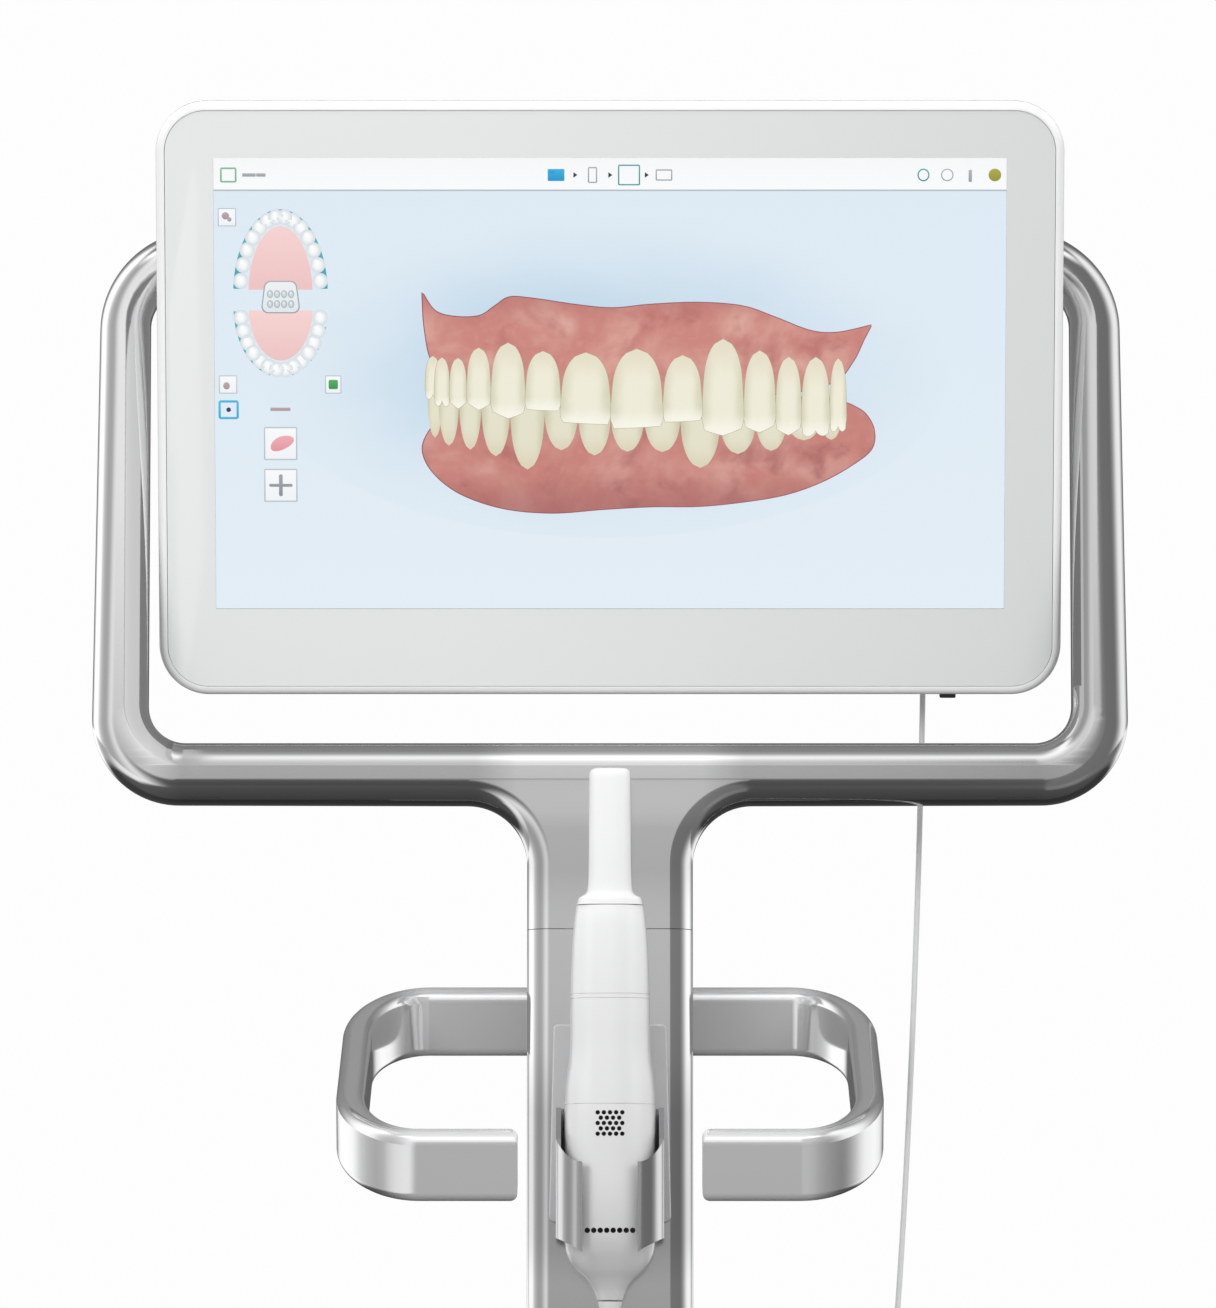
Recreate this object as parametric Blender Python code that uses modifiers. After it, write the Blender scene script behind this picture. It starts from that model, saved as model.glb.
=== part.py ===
"""Intraoral scanner on a wheeled stand: touch screen on a loop frame, ring handle, hand wand in a cradle.

Metres, +Z up, the screen faces -Y. The post and the loop frame share one leaning plane.
"""

import math

import bmesh
import bpy
import numpy as np
from mathutils import Matrix, Vector

# Leaning plane of the post and the loop frame, and the tilt of the screen at rest
hub_y = 0.01057
post_lean = math.radians(20.6)
screen_lean = math.radians(7.0)
crossbar_y = hub_y + 0.152
crossbar_z = 0.886
hinge_up = 0.310

# Loop frame
frame_depth = 0.038
bar_height = 0.036
loop_half_top = 0.306
loop_half_bottom = 0.311
upright_width = 0.0292
frame_rounding = 0.486 * upright_width
loop_inner_half = min(loop_half_top, loop_half_bottom) - upright_width
crossbar_top = 0.0169
crossbar_bottom = -0.0197
crossbar_slope = 0.0006
outer_top_radius = 0.062
outer_bottom_radius = 0.052
inner_radius = 0.023
fillet_radius = 0.036
post_half = 0.0495
seam_up = -0.0953
seam_gap = 0.0004

# Lower post
straight_end_z = 0.560
bend_radius = 0.400
arm_top_z = 0.112
post_foot_gap = 0.0003

# Splice inside the post
spigot_size = (0.056, 0.110, 0.016)
spigot_clearance = 0.0004
post_bolt_radius = 0.005
post_bolt_offset = 0.030
bolt_seat_depth = 0.004

# Wheeled base
arm_count = 5
arm_reach = 0.305
arm_thickness = 0.024
arm_root_half = 0.036
arm_tip_half = 0.024
arm_rounding = 0.006
notch_fillet = 0.045
cover_height = 0.022
cover_radius = 0.082
cover_post_clearance = 0.0008
base_bolt_radius = 0.013
base_bolt_head = 0.008

# Casters
wheel_radius = 0.0375
wheel_width = 0.022
caster_trail = 0.024
axle_radius = 0.004
axle_clearance = 0.0004
cheek_thickness = 0.003
cheek_gap = 0.0016
cheek_half = 0.012
crown_radius = 0.021
crown_thickness = 0.004
stem_radius = 0.0055
stem_length = 0.018
stem_clearance = 0.0004

# Ring handle
ring_z = 0.7351
ring_height = 0.0412
ring_bar = 0.017
ring_half_width = 0.158
ring_rear_y = hub_y + 0.134
ring_front_y = hub_y - 0.1372
ring_corner_x = 0.050
ring_corner_y = 0.088
ring_end_x = 0.0525
ring_rounding = 0.0065
bracket_half = 0.036
ring_bolt_x = 0.020
ring_bolt_radius = 0.006
ring_bolt_head = 0.004

# Cradle
plate_thickness = 0.006
plate_top = -0.1525
plate_bottom = -0.2700
plate_half_top = 0.0335
plate_half_bottom = 0.0363
clip_wall = 0.0030
clip_half = 0.0318
clip_lip_half = 0.0162
clip_top_back = -0.2030
clip_top_side = -0.2225
clip_corner_depth = 0.0148
clip_bottom_back = -0.2760
lip_top_inner = -0.2362
lip_top_outer = -0.2180
lip_bottom_outer = -0.2795
lip_bottom_inner = -0.2890
clip_front = 0.0880
cradle_screw_radius = 0.0035
screw_head = 0.0015

# Wand, along the leaning plane
wand_forward = 0.058
wand_wall = 0.0022
sleeve_wall = 0.0016
shell_gap = 0.00015
joint_gap = 0.0004
section_points = 24
body_squareness = 2.7
sleeve_squareness = 3.4
button_up = -0.128
button_half = (0.0055, 0.0120)
button_proud = 0.0012
button_clearance = 0.0004
button_travel = 0.0008
optics_size = (0.0160, 0.1040, 0.0080)
optics_up = -0.0620
board_size = (0.0404, 0.1500, 0.0016)
board_up = -0.200
tail_top = -0.3170
tail_end = -0.3370

# Screen, measured from the hinge axis: up along the screen and forward out of it
screen_side_gap = 0.0056
screen_low_gap = 0.0346
screen_half_width = loop_inner_half - screen_side_gap
screen_top = 0.0985
screen_bottom = crossbar_top + screen_low_gap - hinge_up
screen_corner = 0.030
screen_front = 0.0460
glass_thickness = 0.0026
glass_recess = 0.0004
rim_width = 0.0052
rim_depth = 0.016
rim_rounding = 0.0045
cover_depth = 0.008
cover_rounding = 0.0075
fit_gap = 0.0003
housing_half = screen_half_width - 0.0562
housing_top = -0.050
housing_bottom = screen_bottom + 0.0205
housing_back = -0.018
housing_rounding = 0.010
cover_wall = 0.0025
display_half_width = screen_half_width - 0.0344
display_top = screen_top - 0.0336
display_bottom = screen_bottom + 0.0522
panel_thickness = 0.0090
main_board_size = (0.300, housing_top - housing_bottom - 0.058, 0.0016)
heat_sink_size = (0.070, 0.060, 0.0100)

# Tilt hinge
journal_radius = 0.0230
journal_length = 0.030
collar_clearance = 0.0004
collar_wall = 0.0055
collar_x = 0.048
collar_length = 0.026
bracket_plate = (0.150, 0.074, 0.0050)
recess_depth = 0.0075

# Power button under the screen, and the cable
cover_screw_x = screen_half_width - 0.0312
power_x = screen_half_width - 0.0677
power_size = (0.0096, 0.0050, 0.0050)
power_proud = 0.0026
power_travel = 0.0010
plug_x = housing_half - 0.025
plug_forward = 0.004
plug_radius = 0.0055
plug_length = 0.026
cable_radius = 0.0017
cable_gap = 0.0003
cable_points = 72
cable_low_z = 0.330
catenary = 0.0605
cable_aside_x = 0.150
cable_aside_y = -0.070

part_name = "intraoral_scanner"


def clear_scene():
    for obj in list(bpy.data.objects):
        bpy.data.objects.remove(obj, do_unlink=True)
    for mesh in list(bpy.data.meshes):
        bpy.data.meshes.remove(mesh)


clear_scene()
scene = bpy.context.scene
parts = bpy.data.collections.new(part_name)
scene.collection.children.link(parts)
helpers = bpy.data.collections.new("cutters")
scene.collection.children.link(helpers)
helpers.hide_render = True


# Places: a matrix takes local (across, up along the plane, out of the plane) to the world
def plane_place(origin, lean):
    across = Vector((1.0, 0.0, 0.0))
    up = Vector((0.0, math.sin(lean), math.cos(lean)))
    out = across.cross(up)
    turn = Matrix((across, up, out)).transposed().to_4x4()
    return Matrix.Translation(origin) @ turn


post_place = plane_place(Vector((0.0, crossbar_y, crossbar_z)), post_lean)
hinge_point = post_place @ Vector((0.0, hinge_up, 0.0))
screen_place = plane_place(hinge_point, screen_lean)
flat_place = Matrix.Identity(4)
# Local (along Y, along Z) outlines extruded along X
side_place = Matrix(((0, 0, 1, 0), (1, 0, 0, 0), (0, 1, 0, 0), (0, 0, 0, 1)))


# Materials
def material(name, colour, roughness, metallic=0.0, transmission=0.0):
    made = bpy.data.materials.new(name)
    made.use_nodes = True
    shader = made.node_tree.nodes["Principled BSDF"]
    shader.inputs["Base Color"].default_value = (*colour, 1.0)
    shader.inputs["Roughness"].default_value = roughness
    shader.inputs["Metallic"].default_value = metallic
    shader.inputs["Transmission Weight"].default_value = transmission
    made.diffuse_color = (*colour, 1.0)
    return made


satin_aluminium = material("satin_aluminium", (0.66, 0.67, 0.68), 0.28, 1.0)
white_plastic = material("white_plastic", (0.86, 0.87, 0.87), 0.35)
gloss_white = material("gloss_white", (0.90, 0.91, 0.91), 0.15)
pale_glass = material("pale_glass", (0.78, 0.80, 0.79), 0.06, 0.0, 0.3)
display_face = material("display_face", (0.62, 0.74, 0.86), 0.30)
circuit_board = material("circuit_board", (0.02, 0.12, 0.06), 0.50)
black_plastic = material("black_plastic", (0.02, 0.02, 0.02), 0.45)
grey_plastic = material("grey_plastic", (0.30, 0.31, 0.32), 0.50)
tyre_rubber = material("tyre_rubber", (0.07, 0.07, 0.07), 0.80)
bare_steel = material("bare_steel", (0.55, 0.55, 0.56), 0.30, 1.0)
clear_window = material("clear_window", (0.85, 0.92, 0.95), 0.03, 0.0, 0.9)
cable_jacket = material("cable_jacket", (0.75, 0.76, 0.76), 0.55)


# Outlines
def rounded_outline(corners, steps=8):
    """Corners (x, y, radius) of a closed outline, with each corner turned into an arc."""
    points = []
    count = len(corners)
    for index, (x, y, radius) in enumerate(corners):
        here = np.array((x, y))
        before = np.array(corners[index - 1][:2]) - here
        after = np.array(corners[(index + 1) % count][:2]) - here
        before = before / np.linalg.norm(before)
        after = after / np.linalg.norm(after)
        if radius <= 0.0:
            points.append(here)
            continue
        half = math.acos(np.clip(before @ after, -1.0, 1.0)) / 2
        reach = radius / math.tan(half)
        middle = before + after
        centre = here + middle / np.linalg.norm(middle) * radius / math.sin(half)
        start = here + before * reach - centre
        end = here + after * reach - centre
        turn = math.atan2(start[0] * end[1] - start[1] * end[0], start @ end)
        pieces = max(1, round(steps * abs(turn) / (math.pi / 2)))
        for piece in range(pieces + 1):
            angle = turn * piece / pieces
            cos, sin = math.cos(angle), math.sin(angle)
            points.append(centre + (start[0] * cos - start[1] * sin, start[0] * sin + start[1] * cos))
    return [tuple(point) for point in points]


def rounded_box_outline(half_x, low, high, radius, steps=6):
    return rounded_outline(
        [(-half_x, low, radius), (half_x, low, radius), (half_x, high, radius), (-half_x, high, radius)],
        steps,
    )


def area(points):
    following = points[1:] + points[:1]
    return sum(a[0] * b[1] - b[0] * a[1] for a, b in zip(points, following)) / 2


def wound(points, anticlockwise):
    return points if (area(points) > 0) == anticlockwise else points[::-1]


# Making of meshes
def finished(name, mesh, place, look, joint_point=None, smooth=35, home=parts):
    """Moves a local mesh to its place, with the origin on its joint if it has one, and shades it."""
    origin = Vector(joint_point) if joint_point is not None else Vector((0.0, 0.0, 0.0))
    mesh.transform(Matrix.Translation(-origin) @ place)
    if place.to_3x3().determinant() < 0:
        mesh.flip_normals()
    mesh.name = name
    obj = bpy.data.objects.new(name, mesh)
    obj.location = origin
    home.objects.link(obj)
    if home == helpers:
        obj.display_type = "WIRE"
        return obj
    mesh.materials.clear()
    mesh.materials.append(look)
    mesh.shade_smooth()
    mesh.set_sharp_from_angle(angle=math.radians(smooth))
    return obj


def welded(mesh, distance=1e-5):
    form = bmesh.new()
    form.from_mesh(mesh)
    bmesh.ops.remove_doubles(form, verts=form.verts, dist=distance)
    bmesh.ops.recalc_face_normals(form, faces=form.faces)
    form.to_mesh(mesh)
    form.free()
    return mesh


def flat_mesh(outline, holes, thickness, rounding=0.0, rounding_steps=3):
    """A flat outline with holes, centred on its local plane, with rounded rims."""
    curve = bpy.data.curves.new("outline", "CURVE")
    curve.dimensions = "2D"
    curve.fill_mode = "BOTH"
    curve.extrude = thickness / 2 - rounding
    curve.bevel_depth = rounding
    curve.bevel_resolution = rounding_steps
    curve.offset = -rounding
    for index, loop in enumerate([outline, *holes]):
        points = wound(list(loop), index > 0)
        spline = curve.splines.new("POLY")
        spline.points.add(len(points) - 1)
        for point, (x, y) in zip(spline.points, points):
            point.co = (x, y, 0.0, 1.0)
        spline.use_cyclic_u = True
    holder = bpy.data.objects.new("outline", curve)
    scene.collection.objects.link(holder)
    bpy.context.view_layer.update()
    mesh = bpy.data.meshes.new_from_object(holder.evaluated_get(bpy.context.evaluated_depsgraph_get()))
    bpy.data.objects.remove(holder)
    bpy.data.curves.remove(curve)
    return welded(mesh)


def flat_body(name, outline, thickness, place, look, holes=(), rounding=0.0, **options):
    steps = options.pop("rounding_steps", 3)
    return finished(name, flat_mesh(outline, holes, thickness, rounding, steps), place, look, **options)


def box_mesh(size, centre, rounding=0.0, segments=2):
    form = bmesh.new()
    bmesh.ops.create_cube(form, size=1.0, matrix=Matrix.Translation(centre) @ Matrix.Diagonal((*size, 1.0)))
    if rounding > 0.0:
        bmesh.ops.bevel(
            form,
            geom=list(form.edges),
            offset=rounding,
            segments=segments,
            profile=0.5,
            affect="EDGES",
            clamp_overlap=True,
        )
    mesh = bpy.data.meshes.new("box")
    form.to_mesh(mesh)
    form.free()
    return mesh


def box_body(name, size, centre, place, look, rounding=0.0, **options):
    return finished(name, box_mesh(size, centre, rounding), place, look, **options)


def cylinder_mesh(radius, length, place, segments=24, far_radius=None):
    form = bmesh.new()
    bmesh.ops.create_cone(
        form,
        cap_ends=True,
        segments=segments,
        radius1=radius,
        radius2=radius if far_radius is None else far_radius,
        depth=length,
        matrix=place,
    )
    mesh = bpy.data.meshes.new("cylinder")
    form.to_mesh(mesh)
    form.free()
    return mesh


def joined(meshes):
    form = bmesh.new()
    for mesh in meshes:
        form.from_mesh(mesh)
    whole = bpy.data.meshes.new("joined")
    form.to_mesh(whole)
    form.free()
    return whole


def turned_body(name, profile, place, look, steps=32, **options):
    """A profile (radius, height) turned about local Z, made with a Screw modifier."""
    mesh = bpy.data.meshes.new(name)
    points = [(radius, 0.0, height) for radius, height in profile]
    mesh.from_pydata(points, [(i, i + 1) for i in range(len(points) - 1)], [])
    holder = bpy.data.objects.new("profile", mesh)
    scene.collection.objects.link(holder)
    screw = holder.modifiers.new("turn", "SCREW")
    screw.axis = "Z"
    screw.steps = steps
    screw.render_steps = steps
    screw.use_merge_vertices = True
    screw.merge_threshold = 1e-5
    bpy.context.view_layer.update()
    solid = bpy.data.meshes.new_from_object(holder.evaluated_get(bpy.context.evaluated_depsgraph_get()))
    bpy.data.objects.remove(holder)
    return finished(name, welded(solid), place, look, **options)


def section(half_x, half_z, squareness, count=section_points):
    """A rounded section, between an ellipse (2) and a rectangle (large)."""
    angles = np.linspace(0.0, 2 * math.pi, count, endpoint=False)
    power = 2.0 / squareness
    across = half_x * np.sign(np.cos(angles)) * np.abs(np.cos(angles)) ** power
    out = half_z * np.sign(np.sin(angles)) * np.abs(np.sin(angles)) ** power
    return np.stack([across, out], axis=1)


def loft_mesh(stations, squareness, centre_out, count=section_points):
    """A closed body through sections (up, half width, half depth) along local Y."""
    rows = []
    points = []
    for up, half_x, half_z in stations:
        outline = section(half_x, half_z, squareness, count)
        rows.append(range(len(points), len(points) + len(outline)))
        points += [(x, up, z + centre_out) for x, z in outline]
    faces = [list(rows[0]), list(rows[-1])]
    for near, far in zip(rows, rows[1:]):
        count = len(near)
        for index in range(count):
            following = (index + 1) % count
            faces.append((near[index], near[following], far[following], far[index]))
    mesh = bpy.data.meshes.new("loft")
    mesh.from_pydata(points, [], faces)
    return welded(mesh)


def cutter(name, mesh, place=flat_place):
    return finished(name, mesh, place, None, home=helpers)


def combine(obj, operation, tools):
    """Applies a Boolean per tool and keeps the smooth shading."""
    for tool in tools:
        step = obj.modifiers.new(tool.name, "BOOLEAN")
        step.operation = operation
        step.object = tool
        step.solver = "EXACT"
    bpy.context.view_layer.update()
    mesh = bpy.data.meshes.new_from_object(obj.evaluated_get(bpy.context.evaluated_depsgraph_get()))
    obj.modifiers.clear()
    old = obj.data
    obj.data = mesh
    bpy.data.meshes.remove(old)
    mesh.name = obj.name
    mesh.shade_smooth()
    mesh.set_sharp_from_angle(angle=math.radians(35))
    return obj


def cut(obj, *tools):
    return combine(obj, "DIFFERENCE", tools)


def unite(obj, *tools):
    return combine(obj, "UNION", tools)


def keep(obj, tool):
    return combine(obj, "INTERSECT", [tool])


# Loop frame and upper post, one casting
loop_top = hinge_up + bar_height / 2
frame_outline = rounded_outline(
    [
        (-loop_half_bottom, crossbar_bottom, outer_bottom_radius),
        (-post_half, crossbar_bottom - crossbar_slope, fillet_radius),
        (-post_half, seam_up - 0.040, 0.0),
        (post_half, seam_up - 0.040, 0.0),
        (post_half, crossbar_bottom - crossbar_slope, fillet_radius),
        (loop_half_bottom, crossbar_bottom, outer_bottom_radius),
        (loop_half_top, loop_top, outer_top_radius),
        (-loop_half_top, loop_top, outer_top_radius),
    ],
    7,
)
frame_hole = rounded_box_outline(loop_inner_half, crossbar_top, loop_top - bar_height, inner_radius, 5)
yoke_frame = flat_body(
    "yoke_frame",
    frame_outline,
    frame_depth,
    post_place,
    satin_aluminium,
    holes=[frame_hole],
    rounding=frame_rounding,
    rounding_steps=3,
)
above_seam = cutter(
    "above_seam",
    box_mesh((0.8, 0.8, 0.2), (0.0, seam_up + seam_gap / 2 + 0.4, 0.0)),
    post_place,
)
keep(yoke_frame, above_seam)

# Lower post: the same section carried down the lean, through a bend, to the base
lean_out = Vector((0.0, -math.cos(post_lean), math.sin(post_lean)))
lean_up = Vector((0.0, math.sin(post_lean), math.cos(post_lean)))
top_point = post_place @ Vector((0.0, seam_up + 0.040, 0.0))
bend_start = Vector((0.0, crossbar_y - (crossbar_z - straight_end_z) * math.tan(post_lean), straight_end_z))
bend_centre = bend_start + lean_out * -bend_radius
post_path = [(top_point, lean_out), (bend_start, lean_out)]
bend_steps = 5
for bend_step in range(1, bend_steps + 1):
    angle = post_lean * (1 - bend_step / bend_steps)
    out = Vector((0.0, -math.cos(angle), math.sin(angle)))
    post_path.append((bend_centre + out * bend_radius, out))
foot_point = post_path[-1][0].copy()
foot_point.z = arm_top_z - 0.040
post_path.append((foot_point, Vector((0.0, -1.0, 0.0))))
post_y = foot_point.y
front_line = [point + out * frame_depth / 2 for point, out in post_path]
back_line = [point - out * frame_depth / 2 for point, out in reversed(post_path)]
lower_post = flat_body(
    "lower_post",
    [(point.y, point.z) for point in front_line + back_line],
    2 * post_half,
    side_place,
    satin_aluminium,
    rounding=frame_rounding,
    rounding_steps=3,
)
below_seam = cutter(
    "below_seam",
    box_mesh((0.8, 0.8, 0.4), (0.0, seam_up - seam_gap / 2 - 0.4, 0.0)),
    post_place,
)
above_base = cutter(
    "above_base",
    box_mesh((0.8, 0.8, 0.8), (0.0, 0.0, arm_top_z + post_foot_gap + 0.4)),
)
keep(lower_post, below_seam)
keep(lower_post, above_base)

spigot = spigot_size
post_spigot = box_body("post_spigot", spigot, (0.0, seam_up, 0.0), post_place, bare_steel, rounding=0.002)
spigot_pocket = cutter(
    "spigot_pocket",
    box_mesh([side + 2 * spigot_clearance for side in spigot], (0.0, seam_up, 0.0)),
    post_place,
)
bolt_back = -frame_depth / 2
cut(yoke_frame, spigot_pocket)
cut(lower_post, spigot_pocket)
for level, host, up in (
    ("upper", yoke_frame, seam_up + post_bolt_offset),
    ("lower", lower_post, seam_up - post_bolt_offset),
):
    seat = cylinder_mesh(
        post_bolt_radius + 0.0006,
        2 * bolt_seat_depth,
        Matrix.Translation((0.0, up, bolt_back)),
        20,
    )
    cut(host, cutter(f"post_bolt_seat_{level}", seat, post_place))
    head = cylinder_mesh(
        post_bolt_radius,
        bolt_seat_depth - 0.0006,
        Matrix.Translation((0.0, up, bolt_back + bolt_seat_depth / 2)),
        20,
    )
    finished(f"post_bolt_{level}", head, post_place, bare_steel)

# Wheeled base
arm_angles = [math.radians(-90 + 360 / arm_count * index) for index in range(arm_count)]
star_corners = []
half_sector = math.pi / arm_count
notch_radius = arm_root_half / math.sin(half_sector) * 1.03
for angle in arm_angles:
    along = np.array((math.cos(angle), math.sin(angle)))
    side = np.array((-along[1], along[0]))
    tip_end = arm_reach + arm_tip_half
    for sign in (-1, 1):
        corner = along * tip_end + side * sign * arm_tip_half
        star_corners.append((corner[0], corner[1] + hub_y, arm_tip_half * 0.98))
    notch_angle = angle + half_sector
    notch = np.array((math.cos(notch_angle), math.sin(notch_angle))) * notch_radius
    star_corners.append((notch[0], notch[1] + hub_y, notch_fillet))
arm_mid_z = arm_top_z - arm_thickness / 2
tip_points = [(math.cos(a) * arm_reach, math.sin(a) * arm_reach + hub_y) for a in arm_angles]
wheel_base = flat_body(
    "wheel_base",
    rounded_outline(star_corners, 4),
    arm_thickness,
    Matrix.Translation((0.0, 0.0, arm_mid_z)),
    white_plastic,
    rounding=arm_rounding,
    rounding_steps=1,
)
stem_holes = cutter(
    "stem_holes",
    joined(
        [
            cylinder_mesh(
                stem_radius + stem_clearance,
                2 * (stem_length + stem_clearance),
                Matrix.Translation((x, y, arm_top_z - arm_thickness)),
                14,
            )
            for x, y in tip_points
        ]
    ),
)
cut(wheel_base, stem_holes)
base_cover = turned_body(
    "base_cover",
    [
        (0.0, arm_top_z + fit_gap),
        (cover_radius, arm_top_z + fit_gap),
        (cover_radius, arm_top_z + 0.006),
        (cover_radius - 0.004, arm_top_z + 0.013),
        (cover_radius - 0.014, arm_top_z + cover_height - 0.002),
        (cover_radius - 0.024, arm_top_z + cover_height),
        (0.0, arm_top_z + cover_height),
    ][::-1],
    Matrix.Translation((0.0, hub_y, 0.0)),
    white_plastic,
    steps=36,
)
post_hole = cutter(
    "post_hole",
    box_mesh(
        (2 * (post_half + cover_post_clearance), frame_depth + 2 * cover_post_clearance, 0.1),
        (0.0, post_y, arm_top_z + 0.02),
    ),
)
cut(base_cover, post_hole)
finished(
    "base_bolt",
    cylinder_mesh(
        base_bolt_radius,
        base_bolt_head,
        Matrix.Translation((0.0, hub_y, arm_top_z - arm_thickness - fit_gap - base_bolt_head / 2)),
        6,
    ),
    flat_place,
    bare_steel,
)

# Casters: fork and stem that swivel, axle, and wheel that spins. All trail to the rear.
arm_bottom_z = arm_top_z - arm_thickness
crown_top_z = arm_bottom_z - 0.0006
across_x = Matrix.Rotation(math.pi / 2, 4, "Y")
fork_inner = wheel_width / 2 + cheek_gap
for number, (tip_x, tip_y) in enumerate(tip_points, 1):
    swivel_point = (tip_x, tip_y, crown_top_z)
    axle_point = Vector((tip_x, tip_y + caster_trail, wheel_radius))
    stem = cylinder_mesh(
        stem_radius,
        stem_length + crown_thickness,
        Matrix.Translation((tip_x, tip_y, crown_top_z + stem_length / 2 - crown_thickness / 2)),
        14,
    )
    crown = cylinder_mesh(
        crown_radius,
        crown_thickness,
        Matrix.Translation((tip_x, tip_y, crown_top_z - crown_thickness / 2)),
        20,
    )
    fork = finished(f"caster_fork_{number}", crown, flat_place, grey_plastic, joint_point=swivel_point)
    tools = [cutter(f"stem_{number}", stem)]
    for sign in (-1, 1):
        cheek_outline = rounded_outline(
            [
                (tip_y - 0.015, crown_top_z - 0.0005, 0.002),
                (tip_y + caster_trail - cheek_half, wheel_radius - cheek_half, 0.010),
                (tip_y + caster_trail + cheek_half, wheel_radius - cheek_half, 0.010),
                (tip_y + 0.018, crown_top_z - 0.0005, 0.002),
            ],
            3,
        )
        cheek_x = tip_x + sign * (fork_inner + cheek_thickness / 2)
        cheek = flat_mesh(cheek_outline, [], cheek_thickness)
        tools.append(cutter(f"cheek_{number}_{sign}", cheek, Matrix.Translation((cheek_x, 0, 0)) @ side_place))
    unite(fork, *tools)
    axle_hole = cylinder_mesh(
        axle_radius + axle_clearance,
        0.1,
        Matrix.Translation(axle_point) @ across_x,
        14,
    )
    cut(fork, cutter(f"axle_hole_{number}", axle_hole))
    axle_length = 2 * (fork_inner + cheek_thickness) + 0.002
    finished(
        f"caster_axle_{number}",
        cylinder_mesh(axle_radius, axle_length, Matrix.Translation(axle_point) @ across_x, 14),
        flat_place,
        bare_steel,
    )
    half = wheel_width / 2
    bore = axle_radius + axle_clearance
    turned_body(
        f"caster_wheel_{number}",
        [
            (bore, -half),
            (0.012, -half),
            (0.014, -half + 0.003),
            (0.027, -half + 0.003),
            (wheel_radius - 0.003, -half + 0.001),
            (wheel_radius, -half + 0.005),
            (wheel_radius, half - 0.005),
            (wheel_radius - 0.003, half - 0.001),
            (0.027, half - 0.003),
            (0.014, half - 0.003),
            (0.012, half),
            (bore, half),
            (bore, -half),
        ][::-1],
        Matrix.Translation(axle_point) @ across_x,
        tyre_rubber,
        steps=22,
        joint_point=axle_point,
    )


# Ring handle: one bar bent round the post, open at the front
def quarter(centre, reach, start, steps=8):
    """Points of a quarter ellipse from the angle start, anticlockwise."""
    angles = [start + math.pi / 2 * step / steps for step in range(steps + 1)]
    return [(centre[0] + reach[0] * math.cos(a), centre[1] + reach[1] * math.sin(a)) for a in angles]


def ring_side(inset):
    """The right half of the ring's edge, from the front end to the middle of the rear bar."""
    half = ring_half_width - inset
    front = ring_front_y - ring_bar / 2 + inset
    rear = ring_rear_y + ring_bar / 2 - inset
    reach = (ring_corner_x - inset, ring_corner_y - inset)
    points = [(ring_end_x, front)]
    points += quarter((half - reach[0], front + reach[1]), reach, -math.pi / 2)
    points += quarter((half - reach[0], rear - reach[1]), reach, 0.0)
    return points


right_outer = ring_side(0.0)
right_inner = ring_side(ring_bar)
left_outer = [(-x, y) for x, y in reversed(right_outer)]
left_inner = [(-x, y) for x, y in right_inner]
ring_outline = right_outer + left_outer + left_inner + right_inner[::-1]
flat_body(
    "ring_handle",
    ring_outline,
    ring_height,
    Matrix.Translation((0.0, 0.0, ring_z)),
    satin_aluminium,
    rounding=ring_rounding,
    rounding_steps=1,
)
post_back_at = {}
for height in (ring_z - 0.014, ring_z + 0.014):
    middle_y = crossbar_y - (crossbar_z - height) * math.tan(post_lean)
    post_back_at[height] = middle_y + frame_depth / 2 / math.cos(post_lean)
low_z, high_z = sorted(post_back_at)
bar_front_y = ring_rear_y - ring_bar / 2
flat_body(
    "ring_bracket",
    [
        (post_back_at[low_z] + fit_gap, low_z),
        (bar_front_y - fit_gap, low_z),
        (bar_front_y - fit_gap, high_z),
        (post_back_at[high_z] + fit_gap, high_z),
    ],
    2 * bracket_half,
    side_place,
    grey_plastic,
)
rear_facing = Matrix.Rotation(-math.pi / 2, 4, "X")
bar_back_y = ring_rear_y + ring_bar / 2
for side_name, sign in (("left", -1), ("right", 1)):
    head_middle = Vector((sign * ring_bolt_x, bar_back_y + fit_gap + ring_bolt_head / 2, ring_z))
    finished(
        f"ring_bolt_{side_name}",
        cylinder_mesh(
            ring_bolt_radius,
            ring_bolt_head,
            Matrix.Translation(head_middle) @ rear_facing,
            20,
            ring_bolt_radius - 0.001,
        ),
        flat_place,
        bare_steel,
    )

# Cradle: back plate on the post and an open clip round the wand
post_front = frame_depth / 2
plate_back = post_front + fit_gap
plate_front = plate_back + plate_thickness
flat_body(
    "cradle_plate",
    rounded_outline(
        [
            (-plate_half_bottom, plate_bottom, 0.004),
            (plate_half_bottom, plate_bottom, 0.004),
            (plate_half_top, plate_top, 0.003),
            (-plate_half_top, plate_top, 0.003),
        ],
        4,
    ),
    plate_thickness,
    post_place @ Matrix.Translation((0.0, 0.0, (plate_back + plate_front) / 2)),
    satin_aluminium,
    rounding=0.001,
    rounding_steps=1,
)
# Local (across, out) outlines extruded along the plane's up direction
clip_place = post_place @ Matrix(((1, 0, 0, 0), (0, 0, -1, 0), (0, 1, 0, 0), (0, 0, 0, 1)))
clip_back = plate_front + fit_gap
clip_outer = rounded_outline(
    [
        (-clip_half, clip_back, 0.010),
        (clip_half, clip_back, 0.010),
        (clip_half, clip_front, 0.014),
        (-clip_half, clip_front, 0.014),
    ],
    6,
)
clip_inner = rounded_outline(
    [
        (-clip_half + clip_wall, clip_back + clip_wall, 0.007),
        (clip_half - clip_wall, clip_back + clip_wall, 0.007),
        (clip_half - clip_wall, clip_front - clip_wall, 0.011),
        (-clip_half + clip_wall, clip_front - clip_wall, 0.011),
    ],
    6,
)
clip_low = min(clip_bottom_back, lip_bottom_inner) - 0.02
clip_high = clip_top_back + 0.02
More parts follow.
